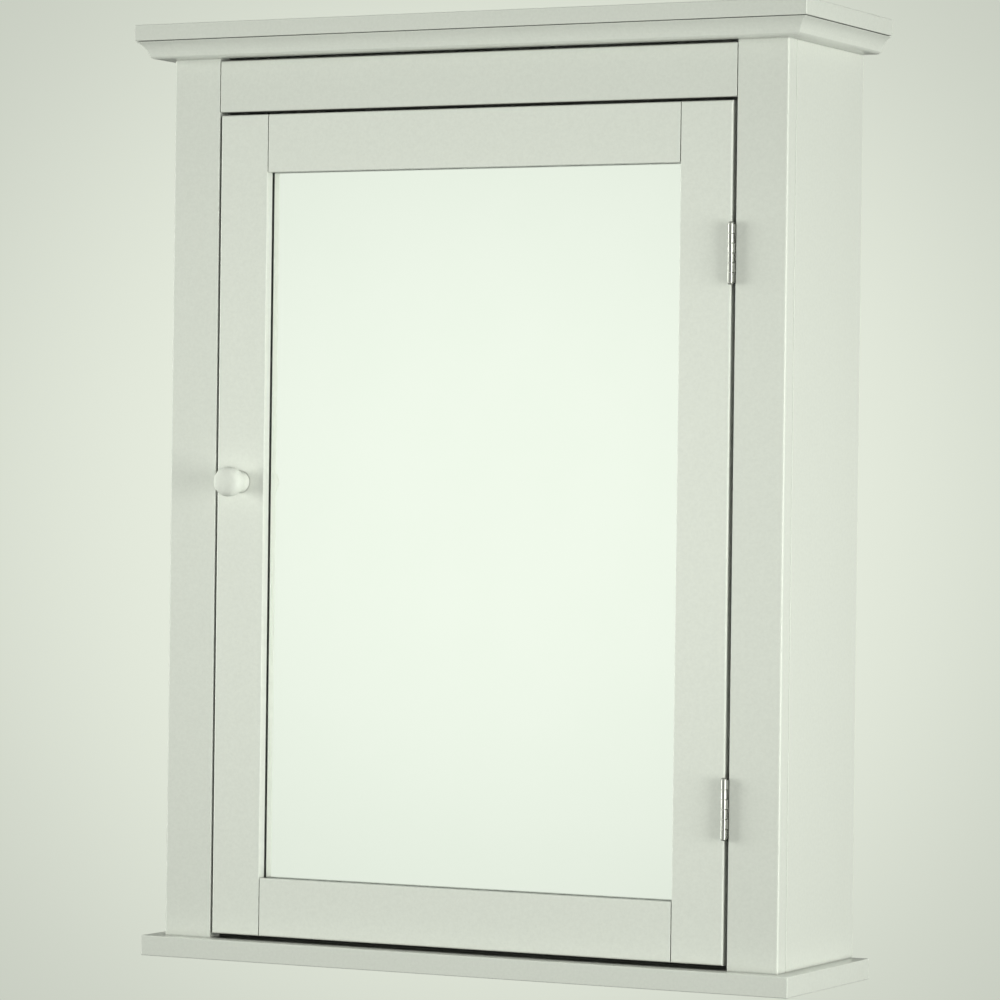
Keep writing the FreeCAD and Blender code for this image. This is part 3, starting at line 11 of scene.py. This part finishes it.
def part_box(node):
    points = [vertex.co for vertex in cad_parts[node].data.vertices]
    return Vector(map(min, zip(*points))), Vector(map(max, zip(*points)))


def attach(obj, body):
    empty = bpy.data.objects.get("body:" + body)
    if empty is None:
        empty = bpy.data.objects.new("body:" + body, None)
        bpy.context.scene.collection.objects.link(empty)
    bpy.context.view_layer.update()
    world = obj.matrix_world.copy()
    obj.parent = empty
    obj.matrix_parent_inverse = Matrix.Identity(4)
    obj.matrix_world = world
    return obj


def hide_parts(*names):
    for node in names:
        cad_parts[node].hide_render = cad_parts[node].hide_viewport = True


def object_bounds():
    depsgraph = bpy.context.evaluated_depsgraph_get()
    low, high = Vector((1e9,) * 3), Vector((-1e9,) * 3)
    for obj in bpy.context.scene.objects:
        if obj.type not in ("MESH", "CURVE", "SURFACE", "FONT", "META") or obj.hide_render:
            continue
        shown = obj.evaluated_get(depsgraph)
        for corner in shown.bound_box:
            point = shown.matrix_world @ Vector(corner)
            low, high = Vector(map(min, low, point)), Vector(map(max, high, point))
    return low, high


MM = 0.001

# Camera: where it stands and how it is turned, in the model's frame.
CAMERA_PLACE = (1.49137, -3.01747, -0.30331)
CAMERA_RIGHT = (0.8914666, 0.4529144, 0.0124871)
CAMERA_DOWN = (0.0120113, 0.0039267, -0.9999202)
CAMERA_FORWARD = (-0.4529272, 0.8915454, -0.0019396)
CAMERA_LENS = 161.12
SENSOR = 36
CLIP_NEAR = 0.1
CLIP_FAR = 100

# Directions in which the surroundings are, seen from the cabinet.
UP = (0.0, 0.0, 1.0)
BACK_SIDE = (-0.4226, 0.9063, 0.0)
MIRROR_SIGHT = (CAMERA_FORWARD[0], -CAMERA_FORWARD[1], CAMERA_FORWARD[2])
SOFTBOX_RIGHT = (0.8829, -0.4695, 0.0)
SOFTBOX_LEFT = (-0.9744, -0.2250, 0.0)

# The surroundings are a light with spots on it. A spot has a colour, a direction, the degrees
# from it within which the spot is full, and those past which it has faded away. A later spot
# lies over an earlier one.

# What the camera sees: pale all round, and brighter behind the cabinet.
BACKDROP_ROUND = (0.568, 0.602, 0.526)
BACKDROP_SPOTS = [
    ((0.795, 0.843, 0.733), CAMERA_FORWARD, 3.1, 10.3),
]

# What lights dull things: bright low down, dim above, dimmer right below, and two soft spots.
# A change from one height to another is given as sines of the angle over the horizon.
LOW_LIGHT = (0.34, 0.354, 0.321)
SIDE_LIGHT = (0.19, 0.198, 0.18)
HIGH_LIGHT = (0.11, 0.114, 0.104)
FLOOR_LIGHT = (0.095, 0.1, 0.09)
LOW_TO_SIDE = (-0.45, 0.1)
SIDE_TO_HIGH = (0.0, 0.5)
FLOOR_TO_LOW = (-0.33, -0.27)
SOFT_SPOTS = [
    ((2.4, 2.5, 2.27), BACK_SIDE, 10, 34),
    ((4.1, 4.27, 3.88), UP, 4, 20),
]

# What shiny things reflect: a dark room, a pale wall where the mirror looks and two softboxes.
DARK_ROOM = (0.05, 0.052, 0.048)
SOFTBOX_FACE = (5.2, 5.4, 4.9)
ROOM_SPOTS = [
    ((0.5, 0.53, 0.475), MIRROR_SIGHT, 16, 90),
    ((0.945, 1.0, 0.90), MIRROR_SIGHT, 1, 14),
    (SOFTBOX_FACE, SOFTBOX_RIGHT, 11, 21),
    (SOFTBOX_FACE, SOFTBOX_LEFT, 6, 14),
]

# Lamps round the middle of the cabinet. Neither the camera nor a reflection shows them.
LAMPS = [
    # name, azimuth, elevation, distance, width, height, spread, watts
    ("softbox_right", 77, -2, 2.2, 1.2, 1.2, 70, 6.95),
    ("softbox_left", -68, 4, 2.2, 1.2, 1.2, 70, 6.95),
    ("fill", 22, -2, 2.2, 0.5, 0.5, 42, 0.9),
]
LAMP_COLOUR = (0.98, 1.02, 0.925)

# Floor: far enough down for a low camera to stay above it. It glows, as little light gets there.
FLOOR_PLACE = (0, -0.5, -4.2)
FLOOR_RADIUS = 13.0
FLOOR_SIDES = 96
FLOOR_CLOUD_SIZE = 600
FLOOR_DARK = (0.60, 0.63, 0.57)
FLOOR_PALE = (0.63, 0.66, 0.60)
FLOOR_ROUGHNESS = 0.7
FLOOR_GLOW = (0.4, 0.425, 0.37)

# Knob: outline turned about its axis, as (radius, distance from the door face), in mm.
KNOB_OUTLINE = [
    (7.9, 0.0),
    (8.1, 0.35),
    (8.1, 1.3),
    (7.95, 2.2),
    (7.8, 3.4),
    (7.75, 5.0),
    (7.95, 7.0),
    (8.5, 8.8),
    (9.2, 10.3),
    (10.1, 11.9),
    (10.9, 14.0),
    (11.2, 16.8),
    (11.1, 19.4),
    (10.3, 21.8),
    (8.7, 23.7),
    (6.3, 25.0),
    (3.2, 25.65),
]
KNOB_END = 25.8
KNOB_STEPS = 48
KNOB_SMOOTHING = 2

# Mirror pane, in mm: how far behind the glass front its silver coat is seen, and its eased edge.
SILVER_DEPTH = 1.7
PANE_EDGE = 0.3
PANE_EDGE_STEPS = 3
PANE_EDGE_FULLNESS = 0.6

# Sockets of a Mix node that mixes colours.
MIX_FACTOR = 0
MIX_FIRST = 6
MIX_SECOND = 7
MIX_RESULT = 2

# The span of a pattern that is spread out: its middle, nearly all of it, or all.
MIDDLE = (0.3, 0.7)
NEARLY_ALL = (0.1, 0.9)
ALL = (0, 1)

# Closed places: how much a point sees of its surroundings, where the mask is full and where none.
CORNER_SIGHT = (0.25, 0.85)
SEAM_SIGHT = (0.35, 0.85)
GAP_SIGHT = (0.04, 0.3)
SIGHT_SAMPLES = 6

# Edges: how well the rounded normal agrees with the plain one, where the mask is full and none.
EDGE_TURN = (0.86, 0.985)
EDGE_SAMPLES = 4

# Tops: the upward part of the normal, where the mask is none and where full.
TOP_TURN = (0.5, 0.95)

# Paint: sizes, reaches and depths in mm, tones as shares of its colour, and how strong each
# painted shade is. Paler edges are a painted highlight, and the corner, foot, seam and gap
# colours are painted shade.
WHITE = (0.87, 0.887, 0.85)
PAINT_IOR = 1.5
CLOUD_SIZE = 90
CLOUD_DARK = 0.993
CLOUD_PALE = 1.003
SPECKLE_SIZE = 2.4
SPECKLE_DARK = 0.94
# Painted highlight: edges within this width are made paler, in patches.
EDGE_WIDTH = 1.2
EDGE_PATCH_SIZE = 12
EDGE_LEAST = 0.55
EDGE_PAINTED_HIGHLIGHT = 1.12
# Painted shade in corners, darker by how closed in a point is.
CORNER_REACH = 14
CORNER_PAINTED_SHADE = (0.30, 0.29, 0.25)
CORNER_STRENGTH = 0.12
# Painted shade on tops near upright parts, as at the foot of the cabinet.
FOOT_PAINTED_SHADE = (0.10, 0.10, 0.09)
FOOT_STRENGTH = 0.75
# Painted shade in seams and inner corners between parts.
SEAM_REACH = 1.4
SEAM_PAINTED_SHADE = (0.09, 0.088, 0.08)
SEAM_STRENGTH = 0.5
# Painted shade deep in gaps.
GAP_REACH = 8
GAP_PAINTED_SHADE = (0.018, 0.017, 0.016)
GAP_STRENGTH = 0.95
ROUGH_PATCH_SIZE = 30
SMOOTHER = 0.02
ROUGHER = 0.03
PEEL_COARSE_SIZE = 3.5
PEEL_FINE_SIZE = 1.2


class Nodes:
    """A node tree with short calls that add nodes, feed their sockets and mix colours."""

    def __init__(self, tree):
        self.tree = tree

    def node(self, kind, inputs=None, **settings):
        """Add a node, set its properties and feed its inputs with values or sockets."""
        made = self.tree.nodes.new(kind)
        for key, value in settings.items():
            setattr(made, key, value)
        for key, value in (inputs or {}).items():
            self.feed(made.inputs[key], value)
        return made

    def feed(self, socket, value):
        """Link another socket to this one, or give it a value."""
        if isinstance(value, bpy.types.NodeSocket):
            self.tree.links.new(value, socket)
        else:
            socket.default_value = value

    def mix(self, factor, first, second):
        """Go from the first colour to the second as the factor goes from 0 to 1."""
        made = self.node("ShaderNodeMix", {MIX_FACTOR: factor}, data_type="RGBA")
        for index, colour in ((MIX_FIRST, first), (MIX_SECOND, second)):
            if isinstance(colour, tuple):
                colour = (*colour, 1)
            self.feed(made.inputs[index], colour)
        return made.outputs[MIX_RESULT]


class Surface(Nodes):
    """A material with short calls for its patterns. Sizes, reaches and depths are in mm."""

    def __init__(self, name):
        self.material = bpy.data.materials.new(name)
        self.material.use_nodes = True
        super().__init__(self.material.node_tree)
        self.shader = self.tree.nodes["Principled BSDF"]
        self.place = self.node("ShaderNodeTexCoord").outputs["Object"]

    def set(self, **inputs):
        """Feed the shader's own sockets, named in words."""
        for name, value in inputs.items():
            title = name.replace("_", " ").title().replace("Ior", "IOR")
            self.feed(self.shader.inputs[title], value)

    def noise(self, size, detail=2, stretch=(1, 1, 1), roughness=0.5):
        """Noise from 0 to 1 whose patches are about size mm across."""
        scale = [1 / (size * MM * part) for part in stretch]
        place = self.node("ShaderNodeMapping", {"Vector": self.place, "Scale": scale})
        inputs = {
            "Vector": place.outputs[0],
            "Scale": 1.0,
            "Detail": detail,
            "Roughness": roughness,
        }
        return self.node("ShaderNodeTexNoise", inputs).outputs[0]

    def remap(self, value, low, high, span=MIDDLE):
        """Turn the span's ends into low and high, with values past them held there."""
        inputs = {
            "Value": value,
            "From Min": span[0],
            "From Max": span[1],
            "To Min": low,
            "To Max": high,
        }
        return self.node("ShaderNodeMapRange", inputs).outputs[0]

    def times(self, first, second):
        """The product of two values."""
        return self.node("ShaderNodeMath", {0: first, 1: second}, operation="MULTIPLY").outputs[0]

    def bump(self, height, depth, under=None):
        """Raise the surface by height times depth mm, over another bump if one is given."""
        inputs = {"Strength": 1.0, "Distance": depth * MM, "Height": height}
        if under is not None:
            inputs["Normal"] = under
        return self.node("ShaderNodeBump", inputs).outputs[0]

    def edges(self, width):
        """1 on edges that width mm of rounding would touch, 0 on flats."""
        soft = self.node("ShaderNodeBevel", {"Radius": width * MM}, samples=EDGE_SAMPLES)
        plain = self.node("ShaderNodeNewGeometry").outputs["Normal"]
        both = {0: soft.outputs[0], 1: plain}
        same = self.node("ShaderNodeVectorMath", both, operation="DOT_PRODUCT")
        return self.remap(same.outputs["Value"], 1, 0, EDGE_TURN)

    def closed(self, reach, sight):
        """1 where other surfaces within reach mm hide much of the surroundings, 0 in the open."""
        inputs = {"Distance": reach * MM}
        seen = self.node("ShaderNodeAmbientOcclusion", inputs, samples=SIGHT_SAMPLES)
        return self.remap(seen.outputs["AO"], 1, 0, sight)

    def tops(self):
        """1 on faces that look up, 0 on upright ones."""
        normal = self.node("ShaderNodeNewGeometry").outputs["Normal"]
        parts = self.node("ShaderNodeSeparateXYZ", {0: normal})
        return self.remap(parts.outputs[2], 0, 1, TOP_TURN)


def scaled(colour, factor):
    """A colour made darker or paler."""
    return tuple(part * factor for part in colour)


def paint(name, tone, roughness, peel=0.02):
    """Sprayed white furniture paint: clouds, speckle and orange peel, with painted highlights on
    edges and painted shade in corners, seams, gaps and on tops by upright parts.
    """
    surface = Surface(name)
    colour = scaled(WHITE, tone)
    clouds = surface.remap(surface.noise(CLOUD_SIZE, 3), 0, 1, NEARLY_ALL)
    body = surface.mix(clouds, scaled(colour, CLOUD_DARK), scaled(colour, CLOUD_PALE))
    speckle = surface.remap(surface.noise(SPECKLE_SIZE, 3, roughness=0.7), 0, 1)
    body = surface.mix(speckle, scaled(colour, SPECKLE_DARK), body)
    # Painted highlight: paler edges, in patches.
    highlight_patches = surface.remap(surface.noise(EDGE_PATCH_SIZE, 4), EDGE_LEAST, 1)
    edge = surface.times(surface.edges(EDGE_WIDTH), highlight_patches)
    body = surface.mix(edge, body, scaled(colour, EDGE_PAINTED_HIGHLIGHT))
    # Painted shade: darker in corners, on tops near upright parts, in seams and in gaps.
    corner = surface.closed(CORNER_REACH, CORNER_SIGHT)
    foot = surface.times(surface.tops(), corner)
    seam = surface.closed(SEAM_REACH, SEAM_SIGHT)
    gap = surface.closed(GAP_REACH, GAP_SIGHT)
    for place, strength, shade_colour in (
        (foot, FOOT_STRENGTH, FOOT_PAINTED_SHADE),
        (corner, CORNER_STRENGTH, CORNER_PAINTED_SHADE),
        (seam, SEAM_STRENGTH, SEAM_PAINTED_SHADE),
        (gap, GAP_STRENGTH, GAP_PAINTED_SHADE),
    ):
        body = surface.mix(surface.times(place, strength), body, shade_colour)
    patches = surface.noise(ROUGH_PATCH_SIZE, 4)
    rough = surface.remap(patches, roughness - SMOOTHER, roughness + ROUGHER, NEARLY_ALL)
    coarse = surface.bump(surface.noise(PEEL_COARSE_SIZE), peel * 2)
    fine = surface.bump(surface.noise(PEEL_FINE_SIZE), peel, coarse)
    surface.set(base_color=body, roughness=rough, normal=fine, ior=PAINT_IOR)
    return surface.material


def mirror():
    """Silvered glass: clean, with faint haze and a few wiping marks."""
    surface = Surface("silvered_glass")
    clear = (0.925, 0.95, 0.925)
    hazy = (0.915, 0.945, 0.915)
    haze = surface.remap(surface.noise(50, 4), 0, 1, (0.35, 0.75))
    wiped = surface.noise(20, 5, stretch=(6, 1, 1.6))
    rough = surface.remap(wiped, 0.004, 0.022, (0.45, 0.75))
    waves = surface.bump(surface.noise(120, 1), depth=0.0025)
    surface.set(base_color=surface.mix(haze, clear, hazy), roughness=rough)
    surface.set(normal=waves, metallic=1.0)
    return surface.material


def metal(name, colour, roughness, grain=(1, 1, 1)):
    """Plated or bare steel: cloudy tarnish, darker where other surfaces close in, and fine lines
    along the grain.
    """
    surface = Surface(name)
    tarnished = scaled(colour, 0.88)
    corner_tone = scaled(colour, 0.35)
    clouds = surface.remap(surface.noise(6, 4), 0, 1)
    body = surface.mix(clouds, tarnished, colour)
    # Darker where other surfaces within 2 mm close in.
    corner_mask = surface.times(surface.closed(2, CORNER_SIGHT), 0.5)
    body = surface.mix(corner_mask, body, corner_tone)
    lines = surface.noise(0.4, 3, stretch=grain)
    rough = surface.remap(lines, roughness * 0.7, roughness * 1.5)
    scratches = surface.bump(lines, depth=0.004)
    surface.set(base_color=body, roughness=rough, normal=scratches, metallic=1.0)
    return surface.material


def hardboard():
    """Pressed brown fibre board."""
    surface = Surface("pressed_hardboard")
    dark = (0.17, 0.095, 0.05)
    pale = (0.33, 0.205, 0.12)
    stain = (0.24, 0.145, 0.08)
    strands = surface.noise(1.6, 5, stretch=(2.5, 1, 1), roughness=0.7)
    fibres = surface.remap(strands, 0, 1)
    body = surface.mix(fibres, dark, pale)
    body = surface.mix(surface.remap(surface.noise(50, 3), 0, 0.4), body, stain)
    rough = surface.remap(fibres, 0.62, 0.8, ALL)
    surface.set(base_color=body, roughness=rough, normal=surface.bump(fibres, depth=0.06))
    return surface.material


def beech():
    """Bare turned beech with its short flecks."""
    surface = Surface("turned_beech")
    dark = (0.46, 0.29, 0.16)
    pale = (0.63, 0.44, 0.27)
    fleck = (0.36, 0.20, 0.10)
    grain = surface.remap(surface.noise(1.2, 4, stretch=(8, 1, 1)), 0, 1)
    body = surface.mix(grain, dark, pale)
    flecks = surface.remap(surface.noise(0.7, stretch=(3, 1, 1)), 0, 1, (0.6, 0.7))
    body = surface.mix(flecks, body, fleck)
    rough = surface.remap(grain, 0.55, 0.7, ALL)
    surface.set(base_color=body, roughness=rough, normal=surface.bump(grain, depth=0.03))
    return surface.material


def plastic():
    """Moulded white plastic with a fine spark-eroded texture."""
    surface = Surface("moulded_plastic")
    dark = (0.70, 0.70, 0.66)
    pale = (0.75, 0.75, 0.72)
    crevice_tone = (0.35, 0.33, 0.29)
    body = surface.mix(surface.remap(surface.noise(10, 3), 0, 1), dark, pale)
    # Darker where other surfaces within 3 mm close in.
    body = surface.mix(surface.times(surface.closed(3, CORNER_SIGHT), 0.4), body, crevice_tone)
    texture = surface.noise(0.5)
    rough = surface.remap(texture, 0.38, 0.5)
    surface.set(base_color=body, roughness=rough, normal=surface.bump(texture, depth=0.01))
    return surface.material


def ferrite():
    """Sintered magnet, nearly black and slightly glittering."""
    surface = Surface("sintered_ferrite")
    dark = (0.022, 0.022, 0.025)
    glint = (0.075, 0.075, 0.08)
    grains = surface.remap(surface.noise(0.3), 0, 1, (0.55, 0.75))
    rough = surface.remap(grains, 0.6, 0.4, ALL)
    bumps = surface.bump(grains, depth=0.02)
    surface.set(base_color=surface.mix(grains, dark, glint), roughness=rough, normal=bumps)
    return surface.material


def make_materials():
    """One material for each slot of the record, and the door's own coat of the board paint."""
    return {
        "painted_board": paint("satin_board_paint", tone=0.93, roughness=0.29),
        "painted_back": paint("lacquered_back", tone=0.92, roughness=0.5, peel=0.012),
        "knob_paint": paint("satin_knob_paint", tone=0.965, roughness=0.6, peel=0.012),
        "mirror_glass": mirror(),
        "nickel_hinge": metal("bright_nickel", (0.50, 0.497, 0.48), 0.07, grain=(1, 1, 12)),
        "nickel_peg": metal("satin_nickel", (0.66, 0.65, 0.62), 0.28, grain=(12, 1, 1)),
        "zinc_steel": metal("zinc_plate", (0.60, 0.61, 0.60), 0.33),
        "bare_steel": metal("pressed_steel", (0.50, 0.50, 0.50), 0.36, grain=(14, 1, 1)),
        "hardboard": hardboard(),
        "beech_dowel": beech(),
        "white_plastic": plastic(),
        "ferrite": ferrite(),
        "door_paint": paint("satin_door_paint", tone=0.985, roughness=0.29),
    }


def dress_nodes(frame, materials):
    """Give each CAD node the material of its slot; the door's frame has a paler coat."""
    slots = {part["node"]: part["material_slot"] for part in frame["record"]["subparts"]}
    for name, piece in frame["nodes"].items():
        of_door = name.startswith(("door_stile", "door_rail"))
        piece.data.materials.clear()
        piece.data.materials.append(materials["door_paint" if of_door else slots[name]])


def add_mesh(name, shape, material, smooth=True):
    """Make an object of a bmesh."""
    mesh = bpy.data.meshes.new(name)
    shape.to_mesh(mesh)
    shape.free()
    if smooth:
        mesh.shade_smooth()
    mesh.materials.append(material)
    piece = bpy.data.objects.new(name, mesh)
    bpy.context.scene.collection.objects.link(piece)
    return piece


def turn_outline(outline, end, steps):
    """A closed surface turned about Y: rings of the outline, with a point at its front end."""
    shape = bmesh.new()
    rings = []
    for radius, out in outline:
        ring = []
        for step in range(steps):
            angle = 2 * math.pi * step / steps
            place = (radius * math.cos(angle), -out, radius * math.sin(angle))
            ring.append(shape.verts.new(Vector(place) * MM))
        rings.append(ring)
    for low, high in zip(rings, rings[1:]):
        for step in range(steps):
            after = (step + 1) % steps
            shape.faces.new((low[step], low[after], high[after], high[step]))
    tip = shape.verts.new(Vector((0, -end, 0)) * MM)
    for step in range(steps):
        shape.faces.new((rings[-1][step], rings[-1][(step + 1) % steps], tip))
    shape.faces.new(rings[0])
    bmesh.ops.recalc_face_normals(shape, faces=shape.faces)
    return shape


def make_knob(material):
    """A turned knob with an egg-shaped head, which stands where the CAD knob is."""
    low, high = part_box("knob")
    shape = turn_outline(KNOB_OUTLINE, KNOB_END, KNOB_STEPS)
    knob = add_mesh("knob_turned", shape, material)
    knob.location = ((low.x + high.x) / 2, high.y, (low.z + high.z) / 2)
    finer = knob.modifiers.new("finer", "SUBSURF")
    finer.levels = KNOB_SMOOTHING
    finer.render_levels = KNOB_SMOOTHING
    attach(knob, "door")
    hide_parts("knob")


def make_pane(material):
    """The mirror's reflecting pane, with an eased edge, where its silver coat is seen."""
    low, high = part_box("mirror_glass")
    low = Vector((low.x, low.y + SILVER_DEPTH * MM, low.z))
    shape = bmesh.new()
    bmesh.ops.create_cube(shape, size=1)
    bmesh.ops.scale(shape, vec=high - low, verts=shape.verts)
    bmesh.ops.translate(shape, vec=(low + high) / 2, verts=shape.verts)
    bmesh.ops.bevel(
        shape,
        geom=shape.edges[:],
        offset=PANE_EDGE * MM,
        segments=PANE_EDGE_STEPS,
        profile=PANE_EDGE_FULLNESS,
        affect="EDGES",
    )
    pane = add_mesh("mirror_pane", shape, material, smooth=False)
    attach(pane, "door")
    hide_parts("mirror_glass")


def make_camera():
    """The camera, at the place and angle given above."""
    data = bpy.data.cameras.new("camera")
    data.lens = CAMERA_LENS
    data.sensor_width = SENSOR
    data.clip_start = CLIP_NEAR
    data.clip_end = CLIP_FAR
    camera = bpy.data.objects.new("camera", data)
    bpy.context.scene.collection.objects.link(camera)
    right, up, back = Vector(CAMERA_RIGHT), -Vector(CAMERA_DOWN), -Vector(CAMERA_FORWARD)
    turn = Matrix((right, up, back)).transposed().to_4x4()
    camera.matrix_world = Matrix.Translation(CAMERA_PLACE) @ turn
    bpy.context.scene.camera = camera


class Surroundings(Nodes):
    """The world, with short calls for light that depends on its direction."""

    def __init__(self, name):
        world = bpy.data.worlds.new(name)
        world.use_nodes = True
        bpy.context.scene.world = world
        super().__init__(world.node_tree)
        self.sight = self.node("ShaderNodeTexCoord").outputs["Generated"]
        self.height = self.node("ShaderNodeSeparateXYZ", {0: self.sight}).outputs[2]

    def ramp(self, value, start, end):
        """0 at start, 1 at end, smooth between."""
        inputs = {"Value": value, "From Min": start, "From Max": end}
        made = self.node("ShaderNodeMapRange", inputs, interpolation_type="SMOOTHSTEP")
        return made.outputs[0]

    def near(self, direction, inner, outer):
        """1 within inner degrees of a direction, 0 past outer degrees."""
        both = {0: self.sight, 1: Vector(direction).normalized()}
        along = self.node("ShaderNodeVectorMath", both, operation="DOT_PRODUCT")
        inputs = {0: along.outputs["Value"]}
        angle = self.node("ShaderNodeMath", inputs, operation="ARCCOSINE").outputs[0]
        return self.ramp(angle, math.radians(outer), math.radians(inner))

    def with_spots(self, light, spots):
        """Lay spots over a light."""
        for colour, direction, inner, outer in spots:
            light = self.mix(self.near(direction, inner, outer), light, colour)
        return light


def make_world():
    """Soft light for dull things, a darker room for shiny ones, and a backdrop for the camera."""
    world = Surroundings("studio")
    soft = world.mix(world.ramp(world.height, *LOW_TO_SIDE), LOW_LIGHT, SIDE_LIGHT)
    soft = world.mix(world.ramp(world.height, *SIDE_TO_HIGH), soft, HIGH_LIGHT)
    soft = world.mix(world.ramp(world.height, *FLOOR_TO_LOW), FLOOR_LIGHT, soft)
    soft = world.with_spots(soft, SOFT_SPOTS)
    room = world.with_spots(DARK_ROOM, ROOM_SPOTS)
    backdrop = world.with_spots(BACKDROP_ROUND, BACKDROP_SPOTS)
    ray = world.node("ShaderNodeLightPath")
    seen = world.mix(ray.outputs["Is Glossy Ray"], soft, room)
    seen = world.mix(ray.outputs["Is Camera Ray"], seen, backdrop)
    world.feed(world.tree.nodes["Background"].inputs["Color"], seen)


def make_lamps():
    """Soft lamps aimed at the middle of the cabinet."""
    low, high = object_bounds()
    middle = (low + high) / 2
    for name, azimuth, elevation, distance, width, height, spread, watts in LAMPS:
        side, rise = math.radians(azimuth), math.radians(elevation)
        level = math.cos(rise)
        out = Vector((math.sin(side) * level, -math.cos(side) * level, math.sin(rise)))
        data = bpy.data.lights.new(name, "AREA")
        data.shape = "RECTANGLE"
        data.size = width
        data.size_y = height
        data.energy = watts
        data.spread = math.radians(spread)
        data.color = LAMP_COLOUR
        lamp = bpy.data.objects.new(name, data)
        bpy.context.scene.collection.objects.link(lamp)
        lamp.location = middle + out * distance
        lamp.rotation_mode = "QUATERNION"
        lamp.rotation_quaternion = (-out).to_track_quat("-Z", "Y")
        lamp.visible_camera = False
        lamp.visible_glossy = False


def make_floor():
    """A plain pale floor that only the camera sees. The world gives the light from below."""
    surface = Surface("pale_floor")
    clouds = surface.remap(surface.noise(FLOOR_CLOUD_SIZE, 3), 0, 1)
    body = surface.mix(clouds, FLOOR_DARK, FLOOR_PALE)
    surface.set(base_color=body, roughness=FLOOR_ROUGHNESS)
    surface.set(emission_color=(*FLOOR_GLOW, 1), emission_strength=1.0)
    shape = bmesh.new()
    bmesh.ops.create_circle(shape, cap_ends=True, segments=FLOOR_SIDES, radius=FLOOR_RADIUS)
    floor = add_mesh("floor", shape, surface.material, smooth=False)
    floor.location = FLOOR_PLACE
    floor.visible_diffuse = False
    floor.visible_glossy = False
    floor.visible_shadow = False


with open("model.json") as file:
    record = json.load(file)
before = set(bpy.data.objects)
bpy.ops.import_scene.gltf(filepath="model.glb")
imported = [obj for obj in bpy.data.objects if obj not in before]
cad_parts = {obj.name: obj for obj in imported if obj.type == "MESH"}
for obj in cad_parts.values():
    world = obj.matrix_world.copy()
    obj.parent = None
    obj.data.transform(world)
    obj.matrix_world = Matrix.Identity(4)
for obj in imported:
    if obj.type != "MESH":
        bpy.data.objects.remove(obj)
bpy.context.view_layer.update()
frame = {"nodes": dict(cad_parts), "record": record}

bpy.context.scene.view_settings.view_transform = "Standard"
make_camera()
make_world()
make_lamps()
make_floor()
materials = make_materials()
dress_nodes(frame, materials)
make_knob(materials["knob_paint"])
make_pane(materials["mirror_glass"])
